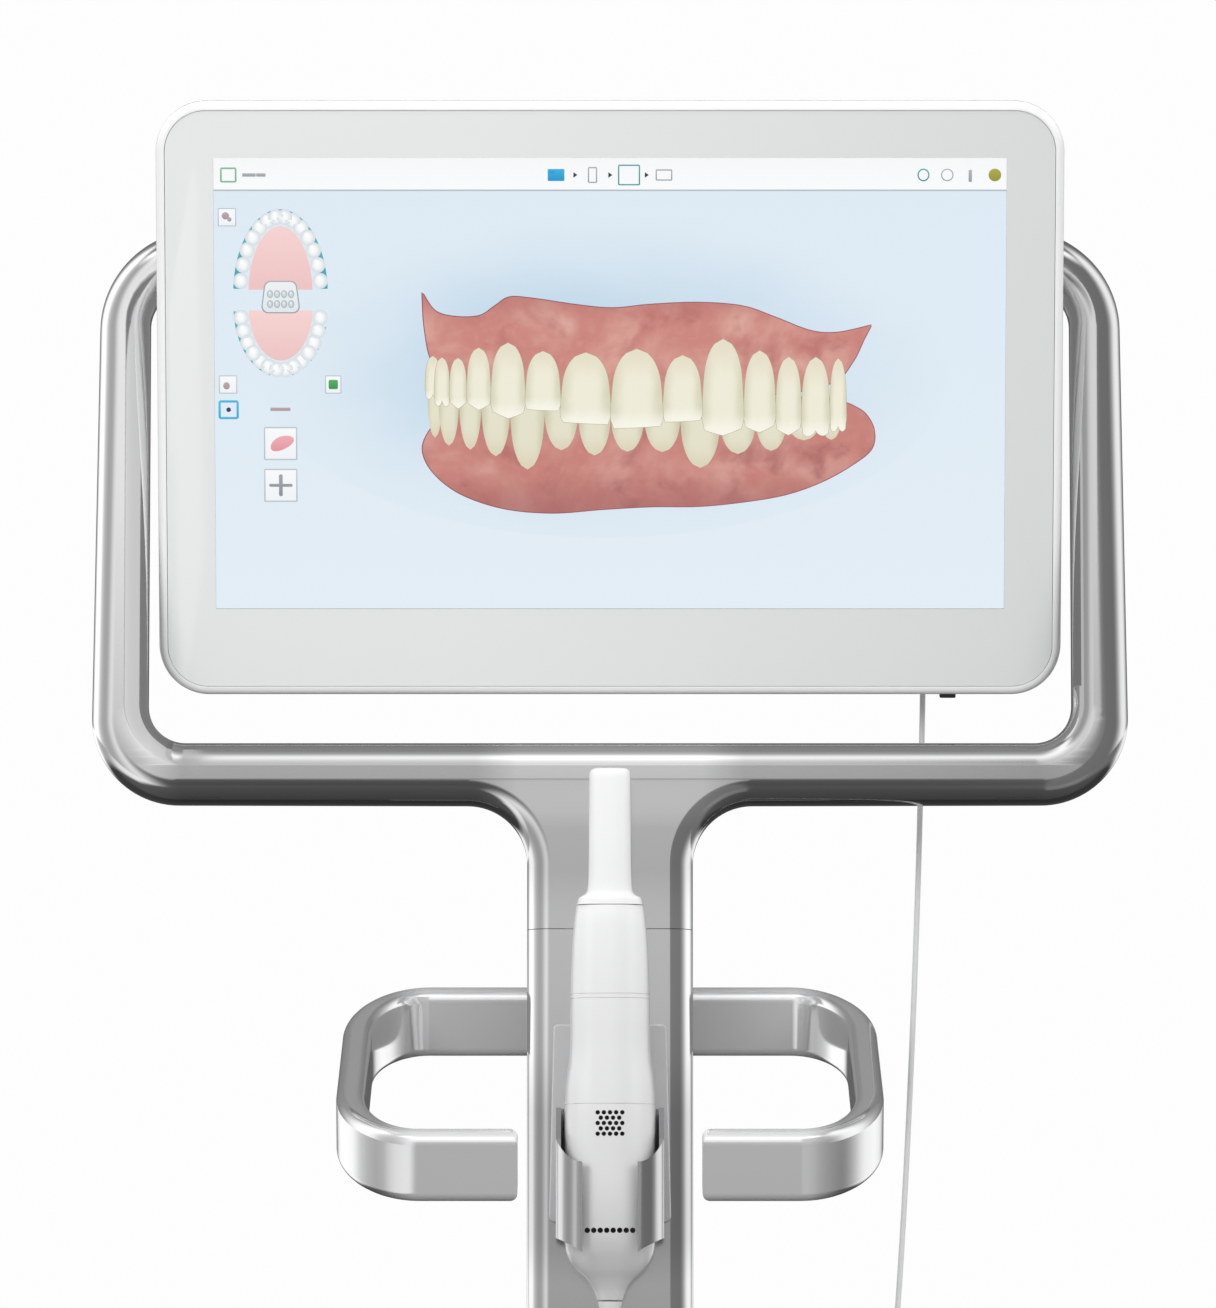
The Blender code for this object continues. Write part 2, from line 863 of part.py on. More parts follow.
clip_middle = Matrix.Translation((0.0, 0.0, -(clip_low + clip_high) / 2))
cradle_clip = flat_body(
    "cradle_clip",
    clip_outer,
    clip_high - clip_low,
    clip_place @ clip_middle,
    satin_aluminium,
    holes=[clip_inner],
)
lip_back = clip_front - clip_corner_depth
clip_side = [
    (clip_bottom_back, clip_back - 0.01),
    (lip_bottom_outer, lip_back + 0.0004),
    (lip_bottom_inner - 0.004, lip_back + 0.0004),
    (lip_bottom_inner - 0.004, clip_front + 0.01),
    (clip_top_side, clip_front + 0.01),
    (clip_top_side, lip_back),
    (clip_top_back, clip_back + 0.022),
    (clip_top_back, clip_back - 0.01),
]
# Local (up, out) outlines extruded across
profile_place = post_place @ Matrix(((0, 0, 1, 0), (1, 0, 0, 0), (0, 1, 0, 0), (0, 0, 0, 1)))
keep(cradle_clip, cutter("clip_side", flat_mesh(clip_side, [], 0.2), profile_place))
# The front wall is left standing as two lips with swept ends
lip_edge = clip_half + 0.0022
lip = [
    (clip_lip_half, lip_bottom_inner),
    (clip_lip_half, lip_top_inner),
    (0.5 * clip_lip_half + 0.5 * lip_edge - 0.0010, lip_top_inner + 0.0035),
    (clip_half - 0.0025, 0.55 * lip_top_inner + 0.45 * lip_top_outer),
    (lip_edge, lip_top_outer),
    (lip_edge, lip_bottom_outer),
    (0.5 * clip_lip_half + 0.5 * lip_edge, 0.55 * lip_bottom_outer + 0.45 * lip_bottom_inner),
]
front_zone = [(-0.05, clip_low), (0.05, clip_low), (0.05, clip_high), (-0.05, clip_high)]
zone_depth = clip_corner_depth + 0.01
cut(
    cradle_clip,
    cutter(
        "clip_lips",
        flat_mesh(front_zone, [lip, [(-x, up) for x, up in lip]], zone_depth),
        post_place @ Matrix.Translation((0.0, 0.0, lip_back + zone_depth / 2)),
    ),
)
cradle_seat_top = -0.3060
box_body(
    "cradle_seat",
    (0.012, 0.010, 0.014),
    (0.0, cradle_seat_top - 0.005, post_front + fit_gap + 0.007),
    post_place,
    black_plastic,
    rounding=0.002,
)
for side_name, sign in (("left", -1), ("right", 1)):
    head_middle = (sign * 0.015, plate_top - 0.010, plate_front + fit_gap + screw_head / 2)
    finished(
        f"cradle_screw_{side_name}",
        cylinder_mesh(cradle_screw_radius, screw_head, Matrix.Translation(head_middle), 16),
        post_place,
        bare_steel,
    )

# Wand: sleeve over the tip, two body shells, tail. Stations are (up, half width, half depth).
body_stations = [
    (-0.0845, 0.0198, 0.0139),
    (-0.0930, 0.0210, 0.0155),
    (-0.1120, 0.0224, 0.0172),
    (-0.1410, 0.0233, 0.0190),
    (-0.1660, 0.0236, 0.0202),
    (-0.1760, 0.0242, 0.0210),
    (-0.1860, 0.0256, 0.0219),
    (-0.1960, 0.0264, 0.0228),
    (-0.2120, 0.0267, 0.0238),
    (-0.2500, 0.0267, 0.0244),
    (-0.2800, 0.0266, 0.0240),
    (-0.2873, 0.0261, 0.0230),
    (-0.2931, 0.0240, 0.0210),
    (-0.2990, 0.0198, 0.0180),
    (-0.3048, 0.0138, 0.0136),
    (-0.3107, 0.0097, 0.0100),
    (-0.3165, 0.0076, 0.0078),
]
sleeve_stations = [
    (-0.0030, 0.0092, 0.0052),
    (-0.0036, 0.0108, 0.0064),
    (-0.0052, 0.0120, 0.0074),
    (-0.0085, 0.0124, 0.0079),
    (-0.0550, 0.0126, 0.0088),
    (-0.0700, 0.0130, 0.0094),
    (-0.0755, 0.0136, 0.0100),
    (-0.0775, 0.0146, 0.0106),
    (-0.0788, 0.0166, 0.0118),
    (-0.0800, 0.0186, 0.0128),
    (-0.0841, 0.0197, 0.0137),
]


def inset(stations, wall):
    """The same stations one wall thickness further in, closed at both ends."""
    inner = [(up, half_x - wall, half_z - wall) for up, half_x, half_z in stations]
    first, last = inner[0], inner[-1]
    step = wall if first[0] > last[0] else -wall
    inner[0] = (first[0] - step, first[1], first[2])
    inner[-1] = (last[0] + step, last[1], last[2])
    return inner


def thinned(stations, wall, fewest):
    """Drops the stations that a wall's thickness leaves no room for, and keeps the others apart."""
    inner = [row for row in inset(stations, wall) if min(row[1], row[2]) > fewest]
    rows = [inner[0]]
    for row in inner[1:]:
        if rows[-1][0] - row[0] > 0.010:
            rows.append(row)
    return rows


body_hollow = cutter(
    "body_hollow",
    loft_mesh(thinned(body_stations, wand_wall, 0.004), body_squareness, wand_forward, 16),
    post_place,
)
neck_hole = cutter(
    "neck_hole",
    box_mesh(
        (optics_size[0] + 2 * joint_gap, 0.02, optics_size[2] + 2 * joint_gap),
        (0.0, body_stations[0][0], wand_forward),
    ),
    post_place,
)
halves = {
    "wand_front_shell": (wand_forward + shell_gap + 0.05),
    "wand_rear_shell": (wand_forward - shell_gap - 0.05),
}
shells = {}
for shell_name, half_centre in halves.items():
    shell = finished(
        shell_name,
        loft_mesh(body_stations, body_squareness, wand_forward),
        post_place,
        gloss_white,
        smooth=50,
    )
    cut(shell, body_hollow, neck_hole)
    keep(
        shell,
        cutter(f"{shell_name}_half", box_mesh((0.1, 0.5, 0.1), (0.0, -0.2, half_centre)), post_place),
    )
    shells[shell_name] = shell

vent_pitch = 0.0036
vent_radius = 0.0011
vent_middle = -0.2135
vents = []
for row in range(5):
    in_row = 5 if row % 2 == 0 else 4
    for column in range(in_row):
        vents.append(((column - (in_row - 1) / 2) * vent_pitch, vent_middle + (row - 2) * vent_pitch * 0.87))
slot_up = -0.2762
slot_pitch = 0.0038
vents += [((column - 3.5) * slot_pitch, slot_up) for column in range(8)]
cut(
    shells["wand_front_shell"],
    cutter(
        "vents",
        joined(
            [
                cylinder_mesh(vent_radius, 0.030, Matrix.Translation((x, y, wand_forward + 0.0215)), 6)
                for x, y in vents
            ]
        ),
        post_place,
    ),
)

button_back = wand_forward - 0.0184 - button_proud
button_depth = 0.0050
button_outline = [
    (button_half[0] * math.cos(a), button_half[1] * math.sin(a))
    for a in np.linspace(0.0, 2 * math.pi, 20, endpoint=False)
]
hole_scale = 1 + button_clearance / button_half[0]
hole_outline = [(x * hole_scale, y + math.copysign(button_clearance, y)) for x, y in button_outline]
cut(
    shells["wand_rear_shell"],
    cutter(
        "button_hole",
        flat_mesh(hole_outline, [], 0.012),
        post_place @ Matrix.Translation((0.0, button_up, button_back + 0.002)),
    ),
)
button_point = post_place @ Vector((0.0, button_up, button_back))
flat_body(
    "wand_button",
    button_outline,
    button_depth,
    post_place @ Matrix.Translation((0.0, button_up, button_back + button_depth / 2)),
    grey_plastic,
    rounding=0.0008,
    rounding_steps=1,
    joint_point=button_point,
)

sleeve = finished(
    "wand_sleeve",
    loft_mesh(sleeve_stations, sleeve_squareness, wand_forward),
    post_place,
    gloss_white,
    smooth=50,
)
sleeve_hollow = [row for row in inset(sleeve_stations, sleeve_wall) if row[0] < -0.004]
sleeve_hollow[-1] = (-0.0900, sleeve_hollow[-1][1], sleeve_hollow[-1][2])
window_up = -0.0165
window_half = (0.0070, 0.0085)
window_clearance = 0.0003
cut(
    sleeve,
    cutter("sleeve_hollow", loft_mesh(sleeve_hollow, sleeve_squareness, wand_forward), post_place),
    cutter(
        "window_hole",
        box_mesh(
            (2 * (window_half[0] + window_clearance), 2 * (window_half[1] + window_clearance), 0.012),
            (0.0, window_up, wand_forward - 0.0100),
        ),
        post_place,
    ),
)
box_body(
    "wand_window",
    (2 * window_half[0], 2 * window_half[1], 0.0012),
    (0.0, window_up, wand_forward - 0.0070),
    post_place,
    clear_window,
    rounding=0.0002,
)
box_body(
    "wand_optics",
    optics_size,
    (0.0, optics_up, wand_forward),
    post_place,
    black_plastic,
    rounding=0.001,
)
box_body(
    "wand_board",
    board_size,
    (0.0, board_up, wand_forward),
    post_place,
    circuit_board,
)
turned_body(
    "wand_tail",
    [
        (cable_radius + 0.0004, tail_top - joint_gap),
        (0.0072, tail_top - joint_gap),
        (0.0064, tail_top - 0.0040),
        (0.0046, tail_top - 0.0100),
        (0.0038, tail_end + 0.0010),
        (0.0034, tail_end),
        (cable_radius + 0.0004, tail_end),
        (cable_radius + 0.0004, tail_top - joint_gap),
    ],
    post_place @ Matrix.Translation((0, 0, wand_forward)) @ Matrix(((1, 0, 0, 0), (0, 0, 1, 0), (0, -1, 0, 0), (0, 0, 0, 1))),
    white_plastic,
    steps=20,
)

# Screen: rim, glass, display, rear cover with the electronics housing
rim_back = screen_front - rim_depth
rim_outline = rounded_box_outline(screen_half_width, screen_bottom, screen_top, screen_corner, 7)
rim_hole = rounded_box_outline(
    screen_half_width - rim_width,
    screen_bottom + rim_width,
    screen_top - rim_width,
    screen_corner - rim_width,
    7,
)
front_rim = flat_body(
    "front_rim",
    rim_outline,
    rim_depth,
    screen_place @ Matrix.Translation((0.0, 0.0, rim_back + rim_depth / 2)),
    white_plastic,
    rounding=rim_rounding,
    rounding_steps=2,
)
cut(
    front_rim,
    cutter("rim_hole", flat_mesh(rim_hole, [], 0.1), screen_place),
)
glass_gap = 0.0003
glass_outline = rounded_box_outline(
    screen_half_width - rim_width - glass_gap,
    screen_bottom + rim_width + glass_gap,
    screen_top - rim_width - glass_gap,
    screen_corner - rim_width - glass_gap,
    7,
)
glass_front = screen_front - glass_recess
flat_body(
    "front_glass",
    glass_outline,
    glass_thickness,
    screen_place @ Matrix.Translation((0.0, 0.0, glass_front - glass_thickness / 2)),
    pale_glass,
)
panel_front = glass_front - glass_thickness - fit_gap
panel_middle = (display_top + display_bottom) / 2
panel_margin = 0.004
box_body(
    "display_panel",
    (
        2 * (display_half_width + panel_margin),
        display_top - display_bottom + 2 * panel_margin,
        panel_thickness,
    ),
    (0.0, panel_middle, panel_front - panel_thickness / 2),
    screen_place,
    display_face,
)
cover_front = rim_back - fit_gap
cover_back = cover_front - cover_depth
rear_cover = flat_body(
    "rear_cover",
    rim_outline,
    cover_depth * 2,
    screen_place @ Matrix.Translation((0.0, 0.0, cover_front)),
    white_plastic,
    rounding=cover_rounding,
    rounding_steps=2,
)
housing_front = cover_front + housing_rounding
housing_middle = (housing_top + housing_bottom) / 2
unite(
    rear_cover,
    cutter(
        "housing",
        box_mesh(
            (2 * housing_half, housing_top - housing_bottom, housing_front - housing_back),
            (0.0, housing_middle, (housing_front + housing_back) / 2),
            housing_rounding,
            3,
        ),
        screen_place,
    ),
)
keep(
    rear_cover,
    cutter(
        "cover_half",
        box_mesh((0.8, 0.8, 0.1), (0.0, 0.0, cover_front - 0.05)),
        screen_place,
    ),
)
cut(
    rear_cover,
    cutter(
        "housing_hollow",
        box_mesh(
            (
                2 * (housing_half - cover_wall),
                housing_top - housing_bottom - 2 * cover_wall,
                cover_front + 0.02 - housing_back - cover_wall,
            ),
            (0.0, housing_middle, (cover_front + 0.02 + housing_back + cover_wall) / 2),
            housing_rounding - cover_wall,
        ),
        screen_place,
    ),
)
board_back = housing_back + cover_wall + fit_gap
board_front = board_back + main_board_size[2]
box_body(
    "main_board",
    main_board_size,
    (0.0, housing_middle, (board_back + board_front) / 2),
    screen_place,
    circuit_board,
)
box_body(
    "heat_sink",
    heat_sink_size,
    (0.040, housing_middle, board_front + fit_gap + heat_sink_size[2] / 2),
    screen_place,
    bare_steel,
    rounding=0.001,
)

# Tilt hinge on the top bar: journals on the bar, a bracket with collars, caps behind them
bar_outline = rounded_outline(
    [
        (-bar_height / 2, -frame_depth / 2, frame_rounding),
        (bar_height / 2, -frame_depth / 2, frame_rounding),
        (bar_height / 2, frame_depth / 2, frame_rounding),
        (-bar_height / 2, frame_depth / 2, frame_rounding),
    ],
    4,
)
grip = 0.0003
bar_grip = [(x * (1 + 2 * grip / bar_height), y * (1 + 2 * grip / frame_depth)) for x, y in bar_outline]
circle = [(math.cos(a), math.sin(a)) for a in np.linspace(0.0, 2 * math.pi, 28, endpoint=False)]
hinge_across = post_place @ Matrix.Translation((0.0, hinge_up, 0.0)) @ Matrix(
    ((0, 0, 1, 0), (1, 0, 0, 0), (0, 1, 0, 0), (0, 0, 0, 1))
)
for side_name, sign in (("left", -1), ("right", 1)):
    flat_body(
        f"tilt_journal_{side_name}",
        [(journal_radius * x, journal_radius * y) for x, y in circle],
        journal_length,
        hinge_across @ Matrix.Translation((0.0, 0.0, sign * collar_x)),
        bare_steel,
        holes=[bar_grip],
    )
collar_bore = journal_radius + collar_clearance
collar_radius = collar_bore + collar_wall
plate_x, plate_y, plate_z = bracket_plate
bracket_front = cover_back + recess_depth - fit_gap
screen_across = screen_place @ Matrix(((0, 0, 1, 0), (1, 0, 0, 0), (0, 1, 0, 0), (0, 0, 0, 1)))
tilt_bracket = box_body(
    "tilt_bracket",
    (plate_x, plate_y, plate_z),
    (0.0, 0.0, bracket_front - plate_z / 2),
    screen_place,
    satin_aluminium,
    joint_point=hinge_point,
)
bores = []
for side_name, sign in (("left", -1), ("right", 1)):
    block_front = bracket_front - 0.001
    unite(
        tilt_bracket,
        cutter(
            f"block_{side_name}",
            box_mesh(
                (collar_length, 2 * collar_radius, block_front - fit_gap),
                (sign * collar_x, 0.0, (block_front + fit_gap) / 2),
            ),
            screen_place,
        ),
    )
    bores.append(
        cutter(
            f"bore_{side_name}",
            flat_mesh([(collar_bore * x, collar_bore * y) for x, y in circle], [], 0.06),
            screen_across @ Matrix.Translation((0.0, 0.0, sign * collar_x)),
        )
    )
    cap = box_body(
        f"collar_cap_{side_name}",
        (collar_length, 2 * collar_radius, collar_radius),
        (sign * collar_x, 0.0, -collar_radius / 2 - fit_gap),
        screen_place,
        satin_aluminium,
        rounding=0.003,
    )
    cut(cap, bores[-1])
cut(tilt_bracket, *bores)
cut(
    rear_cover,
    cutter(
        "bracket_recess",
        box_mesh(
            (plate_x + 0.0016, plate_y + 0.0016, 2 * recess_depth),
            (0.0, 0.0, cover_back),
        ),
        screen_place,
    ),
)
bracket_back = bracket_front - plate_z
for side_name, sign in (("left", -1), ("right", 1)):
    head_middle = (sign * (plate_x / 2 - 0.007), 0.0, bracket_back - fit_gap - screw_head / 2)
    finished(
        f"bracket_screw_{side_name}",
        cylinder_mesh(0.0040, screw_head, Matrix.Translation(head_middle), 16),
        screen_place,
        bare_steel,
    )
    for level, up in (("lower", screen_bottom + 0.030), ("upper", screen_top - 0.030)):
        head_middle = (sign * cover_screw_x, up, cover_back - fit_gap - screw_head / 2)
        finished(
            f"cover_screw_{level}_{side_name}",
            cylinder_mesh(0.0030, screw_head, Matrix.Translation(head_middle), 14),
            screen_place,
            bare_steel,
        )

# Power button in the lower rim
power_forward = rim_back + 0.0080
power_y = screen_bottom - power_proud + power_size[1] / 2
power_point = screen_place @ Vector((power_x, screen_bottom - power_proud, power_forward))
box_body(
    "power_button",
    power_size,
    (power_x, power_y, power_forward),
    screen_place,
    black_plastic,
    rounding=0.0006,
    joint_point=power_point,
)
power_slot = 0.0003
cut(
    front_rim,
    cutter(
        "power_slot",
        box_mesh(
            (power_size[0] + 2 * power_slot, 0.020, power_size[2] + 2 * power_slot),
            (power_x, screen_bottom, power_forward),
        ),
        screen_place,
    ),
)

# Cable: plug under the housing, hanging loop, tail of the wand
plug_top = housing_bottom + 0.012
plug_place = screen_place @ Matrix.Translation((plug_x, 0.0, plug_forward)) @ Matrix(
    ((1, 0, 0, 0), (0, 0, 1, 0), (0, -1, 0, 0), (0, 0, 0, 1))
)
plug_end = plug_top - plug_length
turned_body(
    "cable_plug",
    [
        (0.0, plug_top),
        (plug_radius, plug_top),
        (plug_radius, plug_end + 0.006),
        (plug_radius - 0.0012, plug_end + 0.001),
        (plug_radius - 0.0022, plug_end),
        (0.0, plug_end),
    ],
    plug_place,
    grey_plastic,
    steps=24,
)
cut(
    rear_cover,
    cutter(
        "socket",
        cylinder_mesh(
            plug_radius + 0.0004,
            0.03,
            screen_place
            @ Matrix.Translation((plug_x, housing_bottom, plug_forward))
            @ Matrix.Rotation(math.pi / 2, 4, "X"),
            24,
        ),
    ),
)
cable_start = screen_place @ Vector((plug_x, plug_end - cable_gap, plug_forward))
start_down = -(screen_place.to_3x3() @ Vector((0.0, 1.0, 0.0)))
cable_finish = post_place @ Vector((0.0, tail_end + 0.012, wand_forward))
finish_down = -lean_up


def hanging_route(first, last, aside, low_z, spread):
    """Points of a hanging line between two ends, down to low_z, that passes to one side of the post."""
    first_share = math.acosh(1 + (first.z - low_z) / spread)
    last_share = math.acosh(1 + (last.z - low_z) / spread)
    total = first_share + last_share
    points = []
    for step in range(41):
        share = step / 40
        flat = (1 - share) ** 2 * first + 2 * share * (1 - share) * aside + share**2 * last
        height = low_z + spread * (math.cosh(share * total - first_share) - 1)
        points.append(Vector((flat.x, flat.y, height)))
    return points


hang_first = cable_start + start_down * 0.035
hang_last = cable_finish + finish_down * 0.045
cable_aside = Vector((cable_aside_x, hub_y + cable_aside_y, 0.0))
hanging = hanging_route(hang_first, hang_last, cable_aside, cable_low_z, catenary)
route = [cable_start, cable_start + start_down * 0.015]
route += hanging[1:-1]
route += [cable_finish + finish_down * 0.020, cable_finish]


def smoothed(points, rounds=2):
    for _ in range(rounds):
        inner = [(a + 2 * b + c) / 4 for a, b, c in zip(points, points[1:], points[2:])]
        points = [points[0], *inner, points[-1]]
    return points


def respaced(points, count):
    """The same line with its points at even distances."""
    line = np.array([tuple(point) for point in points])
    steps = np.linalg.norm(np.diff(line, axis=0), axis=1)
    along = np.concatenate([[0.0], np.cumsum(steps)])
    even = np.linspace(0.0, along[-1], count)
    return [Vector([float(np.interp(place, along, line[:, axis])) for axis in range(3)]) for place in even]


cable_line = respaced(smoothed(respaced(route, 3 * cable_points), 12), cable_points)
cable = bpy.data.curves.new("scanner_cable", "CURVE")
cable.dimensions = "3D"
cable.bevel_depth = cable_radius
cable.bevel_resolution = 2
cable.use_fill_caps = True
spline = cable.splines.new("POLY")
spline.points.add(len(cable_line) - 1)
for point, place in zip(spline.points, cable_line):
    point.co = (*place, 1.0)
cable.materials.append(cable_jacket)
parts.objects.link(bpy.data.objects.new("scanner_cable", cable))
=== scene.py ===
"""Dressed model of the intraoral scanner stand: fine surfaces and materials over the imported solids."""

import math

import bmesh
import bpy
import numpy as np
from mathutils import Matrix, Vector


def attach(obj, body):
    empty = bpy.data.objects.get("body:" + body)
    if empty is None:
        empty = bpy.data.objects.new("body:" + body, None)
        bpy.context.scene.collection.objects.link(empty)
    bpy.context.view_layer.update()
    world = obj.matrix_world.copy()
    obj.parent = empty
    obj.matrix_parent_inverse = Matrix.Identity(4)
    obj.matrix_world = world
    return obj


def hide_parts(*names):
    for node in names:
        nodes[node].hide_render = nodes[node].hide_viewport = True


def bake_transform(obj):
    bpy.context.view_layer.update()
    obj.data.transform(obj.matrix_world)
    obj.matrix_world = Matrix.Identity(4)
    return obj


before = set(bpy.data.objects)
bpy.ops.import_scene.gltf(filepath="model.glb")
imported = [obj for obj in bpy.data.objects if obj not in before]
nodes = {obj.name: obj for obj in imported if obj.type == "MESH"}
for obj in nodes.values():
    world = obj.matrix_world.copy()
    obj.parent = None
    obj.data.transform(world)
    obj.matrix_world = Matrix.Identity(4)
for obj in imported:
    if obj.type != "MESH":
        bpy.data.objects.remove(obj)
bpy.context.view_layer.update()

# Measures shared with the solids, in metres
hub_y = 0.01057
post_lean = math.radians(20.6)
screen_lean = math.radians(7.0)
crossbar_y, crossbar_z = hub_y + 0.152, 0.886
hinge_up = 0.310
frame_depth = 0.038
frame_rounding = 0.0142
bar_height = 0.036
post_half = 0.0495
seam_up, seam_gap = -0.0953, 0.0004
gap = 0.0003
wand_forward = 0.058
screen_half_width, screen_bottom, screen_top = 0.2712, -0.2585, 0.0985
screen_corner = 0.030
screen_front = 0.0460
rim_width, rim_depth = 0.0052, 0.016
display_half_width, display_bottom, display_top = 0.2368, -0.2063, 0.0649
panel_front = 0.0427
glass_thickness = 0.0026
housing_half, housing_top, housing_bottom, housing_back = 0.215, -0.050, -0.238, -0.018


def shift(x=0.0, y=0.0, z=0.0):
    return Matrix.Translation((x, y, z))


def plane_place(origin, lean):
    across = Vector((1.0, 0.0, 0.0))
    up = Vector((0.0, math.sin(lean), math.cos(lean)))
    return Matrix.Translation(origin) @ Matrix((across, up, across.cross(up))).transposed().to_4x4()


post_place = plane_place(Vector((0.0, crossbar_y, crossbar_z)), post_lean)
screen_place = plane_place(post_place @ Vector((0.0, hinge_up, 0.0)), screen_lean)
side_place = Matrix(((0, 0, 1, 0), (1, 0, 0, 0), (0, 1, 0, 0), (0, 0, 0, 1)))

# Camera: a long lens in front, looking down
photo_height = 1308
focal_pixels, shift_pixels = 7682.0, -2.0
camera_pitch = math.radians(14.7)
camera_ahead, camera_height = 4.28249, 2.12251
camera_data = bpy.data.cameras.new("camera")
camera_data.sensor_width = 36.0
camera_data.lens = focal_pixels / photo_height * camera_data.sensor_width
camera_data.shift_x = shift_pixels / photo_height
camera = bpy.data.objects.new("camera", camera_data)
camera.location = (0.0, hub_y - camera_ahead, camera_height)
camera.rotation_euler = (math.pi / 2 - camera_pitch, 0.0, 0.0)
bpy.context.scene.collection.objects.link(camera)
bpy.context.scene.camera = camera


# Node materials
def add(tree, kind, inputs=(), **settings):
    """Adds a node whose inputs are values or other nodes' outputs, and gives back its first output in use."""
    node = tree.nodes.new(f"ShaderNode{kind}")
    for key, value in settings.items():
        setattr(node, key, value)
    for key, value in dict(inputs).items():
        if isinstance(value, bpy.types.NodeSocket):
            tree.links.new(value, node.inputs[key])
        else:
            node.inputs[key].default_value = value
    return next(output for output in node.outputs if output.enabled)


def part_of(tree, vector, axis):
    return add(tree, "SeparateXYZ", {"Vector": vector}).node.outputs[axis]


def noise_of(tree, place, scale, detail=4.0, **more):
    return add(tree, "TexNoise", {"Vector": place, "Scale": scale, "Detail": detail, **more})


def mixed(tree, factor, first, second, blend_type="MIX"):
    """A colour between two, each given as three numbers or as an output."""
    first, second = (
        tone if isinstance(tone, bpy.types.NodeSocket) else (*tone, 1.0) for tone in (first, second)
    )
    return add(tree, "Mix", {"Factor": factor, "A": first, "B": second}, data_type="RGBA", blend_type=blend_type)


def eased_range(tree, source, low, high, share=1.0):
    """A value that goes smoothly from 0 to share while the source goes from low to high."""
    return add(tree, "MapRange", {"Value": source, "From Min": low, "From Max": high, "To Max": share},
               interpolation_type="SMOOTHSTEP")


def ramp(tree, source, stops, unit=1.0, scale=1.0):
    """A value that follows stops (place, value), with the places in a unit and the values scaled."""
    low, high = stops[0][0], stops[-1][0]
    reach = add(tree, "MapRange", {"Value": source, "From Min": low * unit, "From Max": high * unit})
    found = add(tree, "ValToRGB", {"Fac": reach})
    elements = found.node.color_ramp.elements
    while len(elements) < len(stops):
        elements.new(0.5)
    for element, (place, value) in zip(elements, stops):
        element.position = (place - low) / (high - low)
        element.color = (value * scale, value * scale, value * scale, 1.0)
    return found


def along(tree, axis, stops):
    """A ramp along an axis of the scene, in metres."""
    return ramp(tree, part_of(tree, add(tree, "TexCoord").node.outputs["Object"], axis), stops)


def linear(screen_values):
    """Screen values from 0 to 255 as scene colour."""
    parts = [value / 255 for value in screen_values]
    return tuple(part / 12.92 if part <= 0.04045 else ((part + 0.055) / 1.055) ** 2.4 for part in parts)


def material(name):
    made = bpy.data.materials.new(name)
    made.use_nodes = True
    return made, made.node_tree, made.node_tree.nodes["Principled BSDF"].inputs


def mottled(name, colour, other, roughness, other_roughness, scale, bump_scale, bump, **shader_values):
    """A surface whose colour and roughness drift a little, with a fine grain in relief."""
    made, tree, shader = material(name)
    place = add(tree, "TexCoord").node.outputs["Object"]
    broad = noise_of(tree, place, scale, 5.0, Roughness=0.55)
    fine = noise_of(tree, place, bump_scale, 3.0)
    rough = add(tree, "MapRange", {"Value": fine, "To Min": roughness, "To Max": other_roughness})
    tree.links.new(mixed(tree, broad, colour, other), shader["Base Color"])
    tree.links.new(rough, shader["Roughness"])
    tree.links.new(add(tree, "Bump", {"Strength": bump, "Distance": 0.0002, "Height": fine}), shader["Normal"])
    for socket, value in shader_values.items():
        shader[socket.replace("_", " ")].default_value = value
    return made


def painted_shading_along(look, axis, stops):
    """Multiplies a material's colour by a ramp along an axis: painted light and shade."""
    tree = look.node_tree
    base = tree.nodes["Principled BSDF"].inputs["Base Color"]
    tree.links.new(mixed(tree, 1.0, base.links[0].from_socket, along(tree, axis, stops), "MULTIPLY"), base)


bright_metal = (0.93, 0.935, 0.94), (0.98, 0.985, 0.985)
plain_metal = (0.66, 0.665, 0.67), (0.72, 0.725, 0.73)
post_metal = mottled("post_metal", *bright_metal, 0.08, 0.12, 9.0, 1400.0, 0.03, Metallic=1.0)
# Painted light and shade on the stand's metal by height: lightest at the crossbar and above, lighter and darker bands
# down the post, darkest at its foot.
painted_shading_along(post_metal, "Z", [
    (0.10, 0.60), (0.54, 0.80), (0.584, 0.88), (0.605, 0.90), (0.628, 0.72), (0.651, 0.70), (0.700, 0.72),
    (0.735, 0.95), (0.767, 1.0), (0.800, 1.0), (0.815, 0.97), (0.836, 0.82), (0.859, 0.83), (0.870, 0.98), (1.30, 1.0),
])
# Painted shade across the frame: the bars between the post and the uprights darker, the right upright darker than the
# left.
painted_shading_along(post_metal, "X", [
    (-0.32, 1.0), (-0.275, 1.0), (-0.255, 0.72), (-0.080, 0.72), (-0.055, 1.0), (0.055, 1.0), (0.080, 0.72),
    (0.255, 0.72), (0.275, 0.82), (0.32, 0.82),
])
ring_metal = mottled("ring_metal", (0.93, 0.935, 0.94), (0.98, 0.985, 0.99), 0.10, 0.15, 9.0, 1400.0, 0.03)
